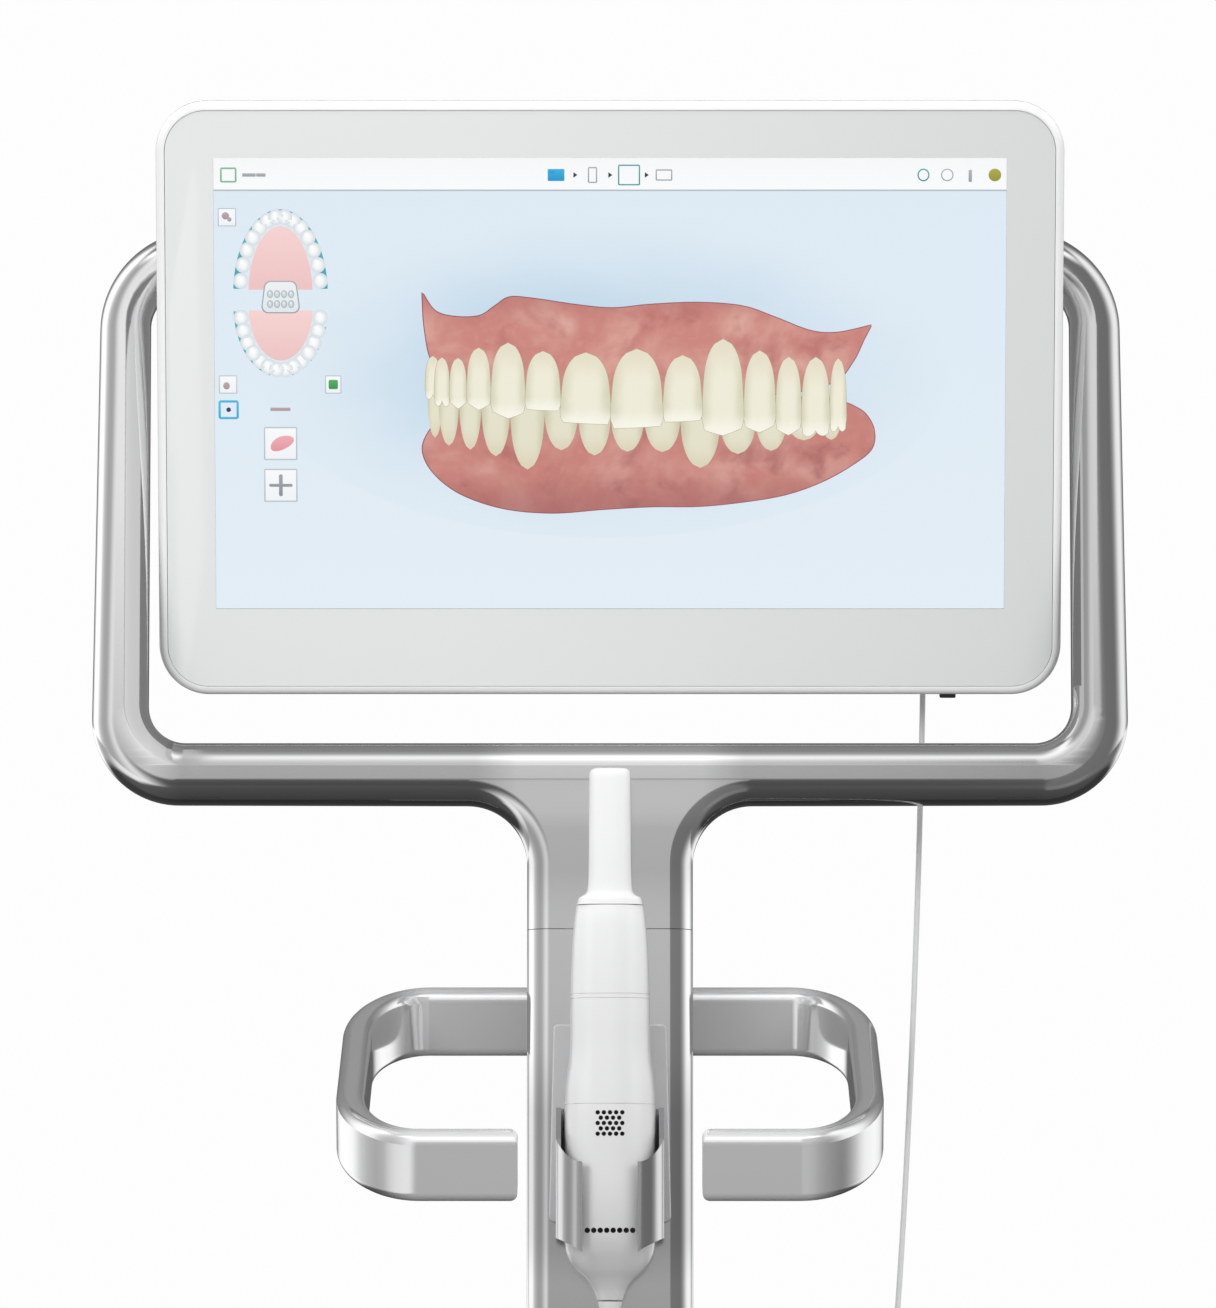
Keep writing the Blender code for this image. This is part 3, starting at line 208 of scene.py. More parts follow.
# Painted shade: the front of the ring darker than its rear bar.
painted_shading_along(ring_metal, "Y", [(-0.30, 0.94), (-0.10, 0.94), (0.10, 1.0), (0.30, 1.0)])
ring_tree = ring_metal.node_tree
ring_tree.links.new(
    along(ring_tree, "X", [(-0.16, 0.88), (-0.132, 0.88), (-0.112, 0.50), (0.112, 0.50), (0.132, 0.88), (0.16, 0.88)]),
    ring_tree.nodes["Principled BSDF"].inputs["Metallic"],
)
clip_metal = mottled("clip_metal", *plain_metal, 0.14, 0.22, 14.0, 1500.0, 0.03, Metallic=1.0)
plate_metal = mottled("plate_metal", *plain_metal, 0.34, 0.42, 14.0, 2200.0, 0.05, Metallic=0.35)
steel = mottled("steel", (0.52, 0.52, 0.53), (0.60, 0.60, 0.61), 0.22, 0.34, 30.0, 1800.0, 0.06, Metallic=1.0)
gloss_white = mottled(
    "gloss_white", (0.91, 0.915, 0.92), (0.94, 0.945, 0.945), 0.16, 0.24, 12.0, 2600.0, 0.02,
    Coat_Weight=0.5, Coat_Roughness=0.06,
)
# Painted shade on the wand: darker down its middle height than at the tip and the tail end.
painted_shading_along(gloss_white, "Z", [
    (0.60, 1.0), (0.63, 0.90), (0.70, 0.83), (0.76, 0.86), (0.83, 0.93), (0.87, 1.0), (0.91, 1.0),
])
# Painted highlight along both long edges of the wand, with its middle darker.
painted_shading_along(gloss_white, "X", [
    (-0.027, 1.0), (-0.018, 1.0), (-0.013, 0.93), (-0.009, 0.90), (0.009, 0.90), (0.013, 0.93), (0.018, 1.0),
    (0.027, 1.0),
])
rim_white = mottled(
    "rim_white", (0.88, 0.885, 0.885), (0.91, 0.915, 0.915), 0.20, 0.28, 8.0, 2400.0, 0.02, Coat_Weight=0.3
)
moulded_white = mottled("moulded_white", (0.78, 0.79, 0.79), (0.83, 0.835, 0.835), 0.36, 0.48, 10.0, 1300.0, 0.18)
moulded_grey = mottled("moulded_grey", (0.22, 0.225, 0.23), (0.28, 0.285, 0.29), 0.42, 0.55, 25.0, 1500.0, 0.20)
black_rubber = mottled("black_rubber", (0.018, 0.018, 0.018), (0.035, 0.035, 0.035), 0.55, 0.75, 40.0, 900.0, 0.30)
tyre_rubber = mottled("tyre_rubber", (0.045, 0.045, 0.047), (0.075, 0.075, 0.078), 0.60, 0.80, 30.0, 700.0, 0.35)
hub_plastic = mottled("hub_plastic", (0.55, 0.56, 0.57), (0.62, 0.63, 0.64), 0.35, 0.48, 25.0, 1200.0, 0.15)
board_green = mottled("board_green", (0.012, 0.085, 0.04), (0.02, 0.13, 0.065), 0.35, 0.50, 60.0, 800.0, 0.15)
cable_skin = mottled("cable_skin", (0.74, 0.75, 0.755), (0.80, 0.805, 0.81), 0.42, 0.52, 60.0, 1500.0, 0.10)
vent_black = mottled("vent_black", (0.010, 0.010, 0.010), (0.022, 0.022, 0.022), 0.50, 0.70, 90.0, 1500.0, 0.20)
seam_grey = mottled("seam_grey", (0.52, 0.53, 0.53), (0.60, 0.61, 0.61), 0.40, 0.55, 90.0, 1500.0, 0.10)
border_paint = mottled(
    "border_paint", linear((233, 237, 235)), linear((236, 239, 238)), 0.05, 0.09, 2.2, 60.0, 0.0,
    Coat_Weight=1.0, Coat_Roughness=0.02,
)
# Painted shade: the glass border darker towards the right.
painted_shading_along(border_paint, "X", [(-0.27, 1.0), (-0.10, 1.0), (0.10, 0.94), (0.27, 0.88)])
clear_glass, glass_tree, glass_shader = material("clear_glass")
glass_shader["Base Color"].default_value = (1.0, 1.0, 1.0, 1.0)
glass_shader["Transmission Weight"].default_value = 1.0
glass_shader["IOR"].default_value = 1.45
smear = add(glass_tree, "TexNoise", {"Scale": 9.0, "Detail": 4.0})
glass_tree.links.new(
    add(glass_tree, "MapRange", {"Value": smear, "To Min": 0.0, "To Max": 0.03}), glass_shader["Roughness"]
)


# Outlines
def rounded_outline(corners, steps=24):
    """Corners (x, y, radius) of a closed outline, with each corner turned into an arc."""
    points = []
    for index, (x, y, radius) in enumerate(corners):
        here = np.array((x, y))
        if radius <= 0.0:
            points.append(here)
            continue
        before = np.array(corners[index - 1][:2]) - here
        after = np.array(corners[(index + 1) % len(corners)][:2]) - here
        before = before / np.linalg.norm(before)
        after = after / np.linalg.norm(after)
        half = math.acos(np.clip(before @ after, -1.0, 1.0)) / 2
        reach = radius / math.tan(half)
        middle = before + after
        centre = here + middle / np.linalg.norm(middle) * radius / math.sin(half)
        start, end = here + before * reach - centre, here + after * reach - centre
        turn = math.atan2(start[0] * end[1] - start[1] * end[0], start @ end)
        pieces = max(1, round(steps * abs(turn) / (math.pi / 2)))
        for piece in range(pieces + 1):
            cos, sin = math.cos(turn * piece / pieces), math.sin(turn * piece / pieces)
            points.append(centre + (start[0] * cos - start[1] * sin, start[0] * sin + start[1] * cos))
    return [tuple(point) for point in points]


def box_outline(left, low, right, high, radius=0.0, steps=24):
    corners = ((left, low), (right, low), (right, high), (left, high))
    return rounded_outline([(*corner, radius) for corner in corners], steps)


def arc(centre, reach, angles):
    return [(centre[0] + reach[0] * math.cos(a), centre[1] + reach[1] * math.sin(a)) for a in angles]


def disc_of(centre, reach, steps=48):
    return arc(centre, reach, np.linspace(0.0, 2 * math.pi, steps, endpoint=False))


def wound(points, anticlockwise):
    following = points[1:] + points[:1]
    area = sum(a[0] * b[1] - b[0] * a[1] for a, b in zip(points, following))
    return points if (area > 0) == anticlockwise else points[::-1]


# Meshes and pieces
def linked(obj):
    bpy.context.scene.collection.objects.link(obj)
    return obj


def evaluated(obj):
    """A new mesh of an object with its modifiers."""
    bpy.context.view_layer.update()
    return bpy.data.meshes.new_from_object(obj.evaluated_get(bpy.context.evaluated_depsgraph_get()))


def mesh_of(form, mesh=None):
    mesh = mesh or bpy.data.meshes.new("piece")
    form.to_mesh(mesh)
    form.free()
    return mesh


def finished(name, mesh, place, look, body, *stands_for, smooth=35):
    """Puts a local mesh in its place, shades it, gives it a material and lets it ride on its body."""
    mesh.transform(place)
    mesh.name = name
    obj = linked(bpy.data.objects.new(name, mesh))
    mesh.materials.clear()
    mesh.materials.append(look)
    mesh.shade_smooth()
    if smooth < 180:
        mesh.set_sharp_from_angle(angle=math.radians(smooth))
    if body:
        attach(obj, body)
    if stands_for:
        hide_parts(*stands_for)
    return obj


def tool(name, mesh, place, look):
    """An object that rides on no body, for cutting or for the stage."""
    return finished(name, mesh, place, look, None)


def welded(mesh, distance=1e-6):
    form = bmesh.new()
    form.from_mesh(mesh)
    bmesh.ops.remove_doubles(form, verts=form.verts, dist=distance)
    bmesh.ops.recalc_face_normals(form, faces=form.faces)
    return mesh_of(form, mesh)


def curve_mesh(lines, closed, **settings):
    """The surface of a curve through lines of points."""
    curve = bpy.data.curves.new("curve", "CURVE")
    for key, value in settings.items():
        setattr(curve, key, value)
    for line in lines:
        spline = curve.splines.new("POLY")
        spline.points.add(len(line) - 1)
        for point, place in zip(spline.points, line):
            point.co = (*place, 1.0)
        spline.use_cyclic_u = closed
    holder = linked(bpy.data.objects.new("curve", curve))
    mesh = evaluated(holder)
    bpy.data.objects.remove(holder)
    bpy.data.curves.remove(curve)
    return welded(mesh)


def flat_mesh(outline, holes=(), thickness=0.001, rounding=0.0, rounding_steps=8):
    """A flat outline with holes, centred on its local plane, with rounded rims."""
    loops = [wound(list(loop), index > 0) for index, loop in enumerate([outline, *holes])]
    return curve_mesh(
        [[(x, y, 0.0) for x, y in loop] for loop in loops], True, dimensions="2D", fill_mode="BOTH",
        extrude=thickness / 2 - rounding, bevel_depth=rounding, bevel_resolution=rounding_steps, offset=-rounding,
    )


def sliced(mesh, place, point, normal):
    """The mesh cut off on the side that a plane's normal points to, with the cut closed."""
    mesh.transform(place)
    form = bmesh.new()
    form.from_mesh(mesh)
    parts = list(form.verts) + list(form.edges) + list(form.faces)
    cut = bmesh.ops.bisect_plane(form, geom=parts, plane_co=point, plane_no=normal, clear_outer=True)
    edges = [piece for piece in cut["geom_cut"] if isinstance(piece, bmesh.types.BMEdge)]
    bmesh.ops.holes_fill(form, edges=edges, sides=0)
    mesh_of(form, mesh).transform(place.inverted())
    return mesh


def box_mesh(size, centre, rounding=0.0, segments=4):
    form = bmesh.new()
    bmesh.ops.create_cube(form, size=1.0)
    for vert in form.verts:
        vert.co = [offset + value * side for offset, value, side in zip(centre, vert.co, size)]
    if rounding > 0:
        bmesh.ops.bevel(
            form, geom=list(form.edges) + list(form.verts), offset=rounding, segments=segments,
            profile=0.5, affect="EDGES",
        )
    bmesh.ops.recalc_face_normals(form, faces=form.faces)
    return mesh_of(form)


def cylinder_mesh(radius, length, place, segments=48):
    form = bmesh.new()
    bmesh.ops.create_cone(
        form, cap_ends=True, cap_tris=False, segments=segments, radius1=radius, radius2=radius, depth=length
    )
    mesh = mesh_of(form)
    mesh.transform(place)
    return mesh


def joined(meshes):
    form = bmesh.new()
    for mesh in meshes:
        form.from_mesh(mesh)
        bpy.data.meshes.remove(mesh)
    return mesh_of(form)


def banded_mesh(rows, capped, weld):
    """A surface through closed rows of as many points each."""
    count, last = len(rows[0]), (len(rows) - 1) * len(rows[0])
    faces = [list(range(count)), list(range(last, last + count))] if capped else []
    for near in range(0, last, count):
        for step in range(count):
            following = near + (step + 1) % count
            faces.append((near + step, following, following + count, near + count + step))
    mesh = bpy.data.meshes.new("bands")
    mesh.from_pydata([point for row in rows for point in row], [], faces)
    return welded(mesh, weld)


def turned_mesh(profile, steps=96):
    """A profile (radius, height) turned round the local Z axis."""
    return banded_mesh([[(*point, z) for point in disc_of((0.0, 0.0), (r, r), steps)] for r, z in profile], False, 1e-6)


def weighted(obj):
    """Keeps large flat faces flat where they meet rounded edges."""
    step = obj.modifiers.new("weighted", "WEIGHTED_NORMAL")
    step.keep_sharp = True
    step.weight = 80


def edged(obj, width, angle=40, segments=3):
    """Softens an object's sharp edges."""
    step = obj.modifiers.new("soft_edges", "BEVEL")
    step.width = width
    step.segments = segments
    step.limit_method = "ANGLE"
    step.angle_limit = math.radians(angle)
    step.harden_normals = True
    return obj


def dress(look, bevel, *names):
    """A material on solids that stay, with their facets smoothed and their edges softened."""
    for name in names:
        obj = nodes[name]
        obj.data.materials.clear()
        obj.data.materials.append(look)
        obj.data.shade_smooth()
        obj.modifiers.new("weld", "WELD").merge_threshold = 1e-5
        if bevel > 0:
            edged(obj, bevel, 30, 2)


def combine(obj, operation, *tools, angle=35):
    """Applies a Boolean per tool, keeps the materials of both and removes the tools."""
    for cutter in tools:
        step = obj.modifiers.new(cutter.name, "BOOLEAN")
        step.operation = operation
        step.object = cutter
        step.solver = "EXACT"
        step.material_mode = "TRANSFER"
    mesh, old = evaluated(obj), obj.data
    obj.modifiers.clear()
    obj.data = mesh
    mesh.name = obj.name
    bpy.data.meshes.remove(old)
    mesh.shade_smooth()
    mesh.set_sharp_from_angle(angle=math.radians(angle))
    for cutter in tools:
        bpy.data.objects.remove(cutter)


def cut(obj, name, mesh, place, look, angle=35):
    """Takes a shape out of an object, with the shape's material on the cut."""
    combine(obj, "DIFFERENCE", tool(name, mesh, place, look), angle=angle)


# Cable
lean_up = Vector((0.0, math.sin(post_lean), math.cos(post_lean)))
tail_end = -0.3370
cable_radius, cable_points = 0.0017, 72
plug_x, plug_forward, plug_inside, plug_length = 0.190, 0.004, 0.012, 0.026
plug_end = housing_bottom + plug_inside - plug_length
cable_start = screen_place @ Vector((plug_x, plug_end - gap, plug_forward))
start_down = -(screen_place.to_3x3() @ Vector((0.0, 1.0, 0.0)))
cable_finish = post_place @ Vector((0.0, tail_end + 0.012, wand_forward))


def hanging_route(first, last, aside, low_z, spread):
    """A hanging line between two points that bows aside in plan."""
    first_share = math.acosh(1 + (first.z - low_z) / spread)
    last_share = math.acosh(1 + (last.z - low_z) / spread)
    points = []
    for share in (step / 40 for step in range(41)):
        flat = (1 - share) ** 2 * first + 2 * share * (1 - share) * aside + share**2 * last
        height = low_z + spread * (math.cosh(share * (first_share + last_share) - first_share) - 1)
        points.append(Vector((flat.x, flat.y, height)))
    return points


def smoothed(points, rounds):
    for _ in range(rounds):
        inner = [(a + 2 * b + c) / 4 for a, b, c in zip(points, points[1:], points[2:])]
        points = [points[0], *inner, points[-1]]
    return points


def respaced(points, count):
    line = np.array([tuple(point) for point in points])
    reached = np.concatenate([[0.0], np.cumsum(np.linalg.norm(np.diff(line, axis=0), axis=1))])
    even = np.linspace(0.0, reached[-1], count)
    return [Vector([float(np.interp(place, reached, line[:, axis])) for axis in range(3)]) for place in even]


loop_aside, lowest_z, loop_spread = Vector((0.150, hub_y - 0.070, 0.0)), 0.330, 0.0605
hanging = hanging_route(
    cable_start + start_down * 0.035, cable_finish - lean_up * 0.045, loop_aside, lowest_z, loop_spread
)
route = [cable_start, cable_start + start_down * 0.015, *hanging[1:-1], cable_finish - lean_up * 0.020, cable_finish]
cable_line = respaced(smoothed(respaced(route, 3 * cable_points), 12), cable_points)
fine_line = respaced(smoothed(respaced(cable_line, 4 * cable_points), 4), 4 * cable_points)
cable_mesh = curve_mesh(
    [fine_line], False, dimensions="3D", bevel_depth=cable_radius, bevel_resolution=4, use_fill_caps=True
)
cable = finished("cable", cable_mesh, Matrix(), cable_skin, None)
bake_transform(cable)
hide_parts("scanner_cable")

# Loop frame and posts
crossbar_top, crossbar_bottom, crossbar_slope = 0.0169, -0.0197, 0.0006
loop_top = hinge_up + bar_height / 2
right_corners = [
    (post_half, seam_up - 0.040, 0.0), (post_half, crossbar_bottom - crossbar_slope, 0.036),
    (0.311, crossbar_bottom, 0.052), (0.306, loop_top, 0.062),
]
left_corners = [(-x, y, radius) for x, y, radius in right_corners]
frame_outline = rounded_outline(left_corners[2::-1] + right_corners + left_corners[3:])
frame_hole = box_outline(-0.2768, crossbar_top, 0.2768, loop_top - bar_height, 0.023)
yoke_mesh = flat_mesh(frame_outline, [frame_hole], frame_depth, frame_rounding, 10)
seam_point = post_place @ Vector((0.0, seam_up, 0.0))
yoke_mesh = sliced(yoke_mesh, post_place, seam_point + lean_up * seam_gap / 2, -lean_up)
weighted(finished("yoke", yoke_mesh, post_place, post_metal, "stand", "yoke_frame"))

straight_end_z, bend_radius, arm_top_z = 0.560, 0.400, 0.112
lean_out = Vector((0.0, -math.cos(post_lean), math.sin(post_lean)))
bend_start = Vector((0.0, crossbar_y - (crossbar_z - straight_end_z) * math.tan(post_lean), straight_end_z))
post_path = [(post_place @ Vector((0.0, seam_up + 0.040, 0.0)), lean_out), (bend_start, lean_out)]
for bend_step in range(1, 25):
    angle = post_lean * (1 - bend_step / 24)
    out = Vector((0.0, -math.cos(angle), math.sin(angle)))
    post_path.append((bend_start + (out - lean_out) * bend_radius, out))
post_y = post_path[-1][0].y
post_path.append((Vector((0.0, post_y, arm_top_z - 0.040)), Vector((0.0, -1.0, 0.0))))
post_lines = [point + out * frame_depth / 2 for point, out in post_path]
post_lines += [point - out * frame_depth / 2 for point, out in reversed(post_path)]
post_mesh = flat_mesh([(p.y, p.z) for p in post_lines], (), 2 * post_half, frame_rounding, 10)
post_mesh = sliced(post_mesh, side_place, seam_point - lean_up * seam_gap / 2, lean_up)
post_mesh = sliced(post_mesh, side_place, (0.0, 0.0, arm_top_z + gap), (0.0, 0.0, -1.0))
weighted(finished("post", post_mesh, side_place, post_metal, "stand", "lower_post"))

# Ring handle
ring_z, ring_height, ring_bar = 0.7351, 0.0412, 0.017
ring_half_width, ring_opening_half = 0.158, 0.0525
ring_rear_y, ring_front_y = hub_y + 0.134, hub_y - 0.1372


def ring_side(inset):
    """The right half of the ring's edge, from its front end round to its rear bar."""
    half = ring_half_width - inset
    front, rear = ring_front_y - ring_bar / 2 + inset, ring_rear_y + ring_bar / 2 - inset
    reach = (0.050 - inset, 0.088 - inset)
    shares = [math.pi / 2 * step / 40 for step in range(41)]
    points = [(ring_opening_half, front)]
    points += arc((half - reach[0], front + reach[1]), reach, [share - math.pi / 2 for share in shares])
    points += arc((half - reach[0], rear - reach[1]), reach, shares)
    return points


right_outer, right_inner = ring_side(0.0), ring_side(ring_bar)
ring_outline = right_outer + [(-x, y) for x, y in reversed(right_outer)]
ring_outline += [(-x, y) for x, y in right_inner] + right_inner[::-1]
ring = finished("ring", flat_mesh(ring_outline, (), ring_height, 0.0065, 6), shift(z=ring_z), ring_metal, "stand",
                "ring_handle")
ring.visible_glossy = False
weighted(ring)

# Cradle: plate and open clip
plate_thickness = 0.006
plate_back = frame_depth / 2 + gap
plate_front = plate_back + plate_thickness
plate_outline = rounded_outline(
    [(-0.0363, -0.270, 0.004), (0.0363, -0.270, 0.004), (0.0335, -0.1525, 0.003), (-0.0335, -0.1525, 0.003)]
)
weighted(finished(
    "cradle_back", flat_mesh(plate_outline, (), plate_thickness, 0.001, 3),
    post_place @ shift(z=(plate_back + plate_front) / 2), plate_metal, "stand", "cradle_plate",
))
clip_half, clip_wall, clip_back, clip_front = 0.0318, 0.0030, plate_front + gap, 0.0880
clip_low, clip_high, clip_corner_depth = -0.309, -0.183, 0.0148
clip_loops = [
    rounded_outline([(-x, back, near), (x, back, near), (x, front, far), (-x, front, far)])
    for x, back, front, near, far in (
        (clip_half, clip_back, clip_front, 0.010, 0.014),
        (clip_half - clip_wall, clip_back + clip_wall, clip_front - clip_wall, 0.007, 0.011),
    )
]
turn_down = Matrix(((1, 0, 0, 0), (0, 0, -1, 0), (0, 1, 0, 0), (0, 0, 0, 1)))
clip = finished(
    "clip", flat_mesh(clip_loops[0], clip_loops[1:], clip_high - clip_low),
    post_place @ turn_down @ shift(z=-(clip_low + clip_high) / 2), clip_metal, "stand", "cradle_clip",
)
lip_back = clip_front - clip_corner_depth
clip_side = [
    (-0.276, clip_back - 0.01), (-0.2795, lip_back + 0.0004), (-0.293, lip_back + 0.0004),
    (-0.293, clip_front + 0.01), (-0.2225, clip_front + 0.01), (-0.2225, lip_back),
    (-0.203, clip_back + 0.022), (-0.203, clip_back - 0.01),
]
combine(clip, "INTERSECT", tool("clip_side", flat_mesh(clip_side, (), 0.2), post_place @ side_place, clip_metal))
# The front wall stays as two lips with swept ends
lip_near, lip_wide = 0.0162, clip_half + 0.0022 - 0.0162
lip = [(lip_near + lip_wide * share, -0.2362 + 0.0182 * share**2.3) for share in np.linspace(0.0, 1.0, 24)]
lip += [(lip_near + lip_wide * share, -0.2890 + 0.0095 * share**0.86) for share in np.linspace(1.0, 0.0, 12)]
zone_depth = clip_corner_depth + 0.01
zone_mesh = flat_mesh(box_outline(-0.05, clip_low, 0.05, clip_high), [lip, [(-x, up) for x, up in lip]], zone_depth)
cut(clip, "clip_lips", zone_mesh, post_place @ shift(z=lip_back + zone_depth / 2), clip_metal)
weighted(edged(clip, 0.0004))


# Wand
def eased(stations, step=0.0012):
    """The stations with smooth ones added between them."""
    rows = np.array(stations)
    up = rows[:, 0]
    slope = np.gradient(rows[:, 1:], up, axis=0)
    for index in range(1, len(rows) - 1):
        before = (rows[index, 1:] - rows[index - 1, 1:]) / (up[index] - up[index - 1])
        after = (rows[index + 1, 1:] - rows[index, 1:]) / (up[index + 1] - up[index])
        slope[index] = np.where(before * after > 0, 2 * before * after / (before + after + 1e-12), 0.0)
    fine = []
    for index in range(len(rows) - 1):
        span = up[index + 1] - up[index]
        for part in np.linspace(0.0, 1.0, max(2, round(abs(span) / step)), endpoint=False):
            weights = (2 * part**3 - 3 * part**2 + 1, part**3 - 2 * part**2 + part,
                       -2 * part**3 + 3 * part**2, part**3 - part**2)
            shares = (rows[index, 1:], span * slope[index], rows[index + 1, 1:], span * slope[index + 1])
            fine.append((up[index] + span * part, *sum(weight * value for weight, value in zip(weights, shares))))
    return fine + [tuple(rows[-1])]


def grooved(stations, seams, width=0.00045, depth=0.0004):
    """Adds a narrow groove round the stations at each seam."""
    rows = np.array(stations)
    order = np.argsort(rows[:, 0])
    found = list(map(tuple, rows))
    for seam in seams:
        found = [row for row in found if abs(row[0] - seam) > width * 1.5]
        for offset, inward in ((-1.2, 0.0), (-0.5, 0.0), (-0.45, 1.0), (0.45, 1.0), (0.5, 0.0), (1.2, 0.0)):
            up = seam + offset * width
            sizes = [np.interp(up, rows[order, 0], rows[order, axis]) - inward * depth for axis in (1, 2)]
            found.append((up, *sizes))
    return sorted(found, key=lambda row: -row[0])


def rounded_section(half_x, half_z, squareness, angles):
    power = 2.0 / squareness
    across = half_x * np.sign(np.cos(angles)) * np.abs(np.cos(angles)) ** power
    return across, half_z * np.sign(np.sin(angles)) * np.abs(np.sin(angles)) ** power


def half_section(half_x, half_z, sign):
    """One half of a rounded section, front (1) or rear (-1), just short of the middle."""
    across, out = rounded_section(half_x, half_z, 2.7, np.linspace(0.0, math.pi, 73))
    return zip(across, sign * np.maximum(np.abs(out), 0.00015))


def loft_mesh(stations, section_of):
    rows = [[(x, up, z + wand_forward) for x, z in section_of(half_x, half_z)] for up, half_x, half_z in stations]
    return banded_mesh(rows, True, 1e-7)


body_stations = [
    (-0.0845, 0.0198, 0.0139), (-0.0930, 0.0210, 0.0155), (-0.1120, 0.0224, 0.0172), (-0.1410, 0.0233, 0.0190),
    (-0.1660, 0.0236, 0.0202), (-0.1760, 0.0242, 0.0210), (-0.1860, 0.0256, 0.0219), (-0.1960, 0.0264, 0.0228),
    (-0.2120, 0.0267, 0.0238), (-0.2500, 0.0267, 0.0244), (-0.2800, 0.0266, 0.0240), (-0.2873, 0.0261, 0.0230),
    (-0.2931, 0.0240, 0.0210), (-0.2990, 0.0198, 0.0180), (-0.3048, 0.0138, 0.0136), (-0.3107, 0.0097, 0.0100),
    (-0.3165, 0.0076, 0.0078),
]
sleeve_stations = [
    (-0.0030, 0.0092, 0.0052), (-0.0036, 0.0108, 0.0064), (-0.0052, 0.0120, 0.0074), (-0.0085, 0.0124, 0.0079),
    (-0.0550, 0.0126, 0.0088), (-0.0700, 0.0130, 0.0094), (-0.0755, 0.0136, 0.0100), (-0.0775, 0.0146, 0.0106),
    (-0.0788, 0.0166, 0.0118), (-0.0800, 0.0186, 0.0128), (-0.0841, 0.0197, 0.0137),
]
fine_body = grooved(eased(body_stations), (-0.1371, -0.1397, -0.2020))
shells = {
    side: finished(
        f"wand_{side}", loft_mesh(fine_body, lambda half_x, half_z: half_section(half_x, half_z, sign)), post_place,
        gloss_white, "stand", f"wand_{side}_shell", smooth=50,
    )
    for side, sign in (("front", 1), ("rear", -1))
}
vent_pitch = 0.0036
vents = [
    ((column - (in_row - 1) / 2) * vent_pitch, -0.2135 + (row - 2) * vent_pitch * 0.87, 0.00132)
    for row, in_row in enumerate((5, 4, 5, 4, 5)) for column in range(in_row)
]
vents += [((column - 3.5) * 0.0038, -0.2762, 0.00160) for column in range(8)]
vent_meshes = [cylinder_mesh(radius, 0.012, shift(x, y, wand_forward + 0.0275), 20) for x, y, radius in vents]
cut(shells["front"], "vents", joined(vent_meshes), post_place, vent_black, 50)
button_up, key_thickness, key_back = -0.128, 0.0050, wand_forward - 0.0196
button_hole = flat_mesh(disc_of((0.0, 0.0), (0.0059, 0.0124), 64), (), 0.012)
hole_place = post_place @ shift(0.0, button_up, wand_forward - 0.0176)
cut(shells["rear"], "button_hole", button_hole, hole_place, seam_grey, 50)
weighted(finished(
    "wand_key", flat_mesh(disc_of((0.0, 0.0), (0.0055, 0.0120), 64), (), key_thickness, 0.0008, 4),
    post_place @ shift(0.0, button_up, key_back + key_thickness / 2), moulded_grey, "wand_key", "wand_button",
))


def full_section(half_x, half_z):
    return zip(*rounded_section(half_x, half_z, 3.4, np.linspace(0.0, 2 * math.pi, 128, endpoint=False)))


tip = finished(
    "wand_tip", loft_mesh(eased(sleeve_stations, 0.0008), full_section), post_place, gloss_white,
    "stand", "wand_sleeve", smooth=50,
)
window_box = box_mesh((0.0146, 0.0176, 0.008), (0.0, -0.0165, wand_forward - 0.0095))
cut(tip, "window_hole", window_box, post_place, vent_black, 50)
tail_top = -0.3170
tail_profile = [(radius, tail_top - down) for radius, down in (
    (0.0021, 0.0004), (0.0070, 0.0004), (0.0072, 0.0008), (0.0069, 0.0022), (0.0064, 0.0040), (0.0054, 0.0070),
    (0.0046, 0.0100), (0.0041, 0.0140),
)]
tail_profile += [
    (radius, tail_end + up) for radius, up in ((0.0038, 0.0012), (0.0036, gap), (0.0034, 0.0), (0.0021, 0.0))
]
tail_profile.append(tail_profile[0])
tail_place = post_place @ shift(z=wand_forward) @ turn_down.inverted()
finished("wand_end", turned_mesh(tail_profile, 64), tail_place, rim_white, "stand", "wand_tail")


# Screen: rim, painted glass border and clear window
def screen_outline(inset):
    """The screen's outline, or one inside it."""
    half = screen_half_width - inset
    return box_outline(-half, screen_bottom + inset, half, screen_top - inset, screen_corner - inset)


rim_back = screen_front - rim_depth
rim = finished("rim", flat_mesh(screen_outline(0.0), (), rim_depth, 0.0045, 8),
               screen_place @ shift(z=rim_back + rim_depth / 2), rim_white, "screen", "front_rim")
cut(rim, "rim_hole", flat_mesh(screen_outline(rim_width), (), 0.1), screen_place, rim_white)
slot_box = box_mesh((0.0102, 0.020, 0.0056), (0.2035, screen_bottom, rim_back + rim_depth / 2))
cut(rim, "power_slot", slot_box, screen_place, vent_black)
weighted(edged(rim, 0.0003))

glass_setback = 0.0004
glass_place = screen_place @ shift(z=screen_front - glass_setback - glass_thickness / 2)
display_loops = [
    box_outline(-display_half_width + inset, display_bottom + inset, display_half_width - inset, display_top - inset,
                0.0008, 4)
    for inset in (0.0, 0.00002)
]
border_mesh = flat_mesh(screen_outline(rim_width + gap), display_loops[:1], glass_thickness)
glass_border = finished("glass_border", border_mesh, glass_place, border_paint, "screen", "front_glass")
glass_border.visible_glossy = False
weighted(glass_border)
pane_mesh = flat_mesh(display_loops[1], (), glass_thickness)
finished("glass_pane", pane_mesh, glass_place, clear_glass, "screen").visible_glossy = False

# Display picture: flat layers of light close behind the glass
glow_strength, layer_step = 1.06, 0.00003


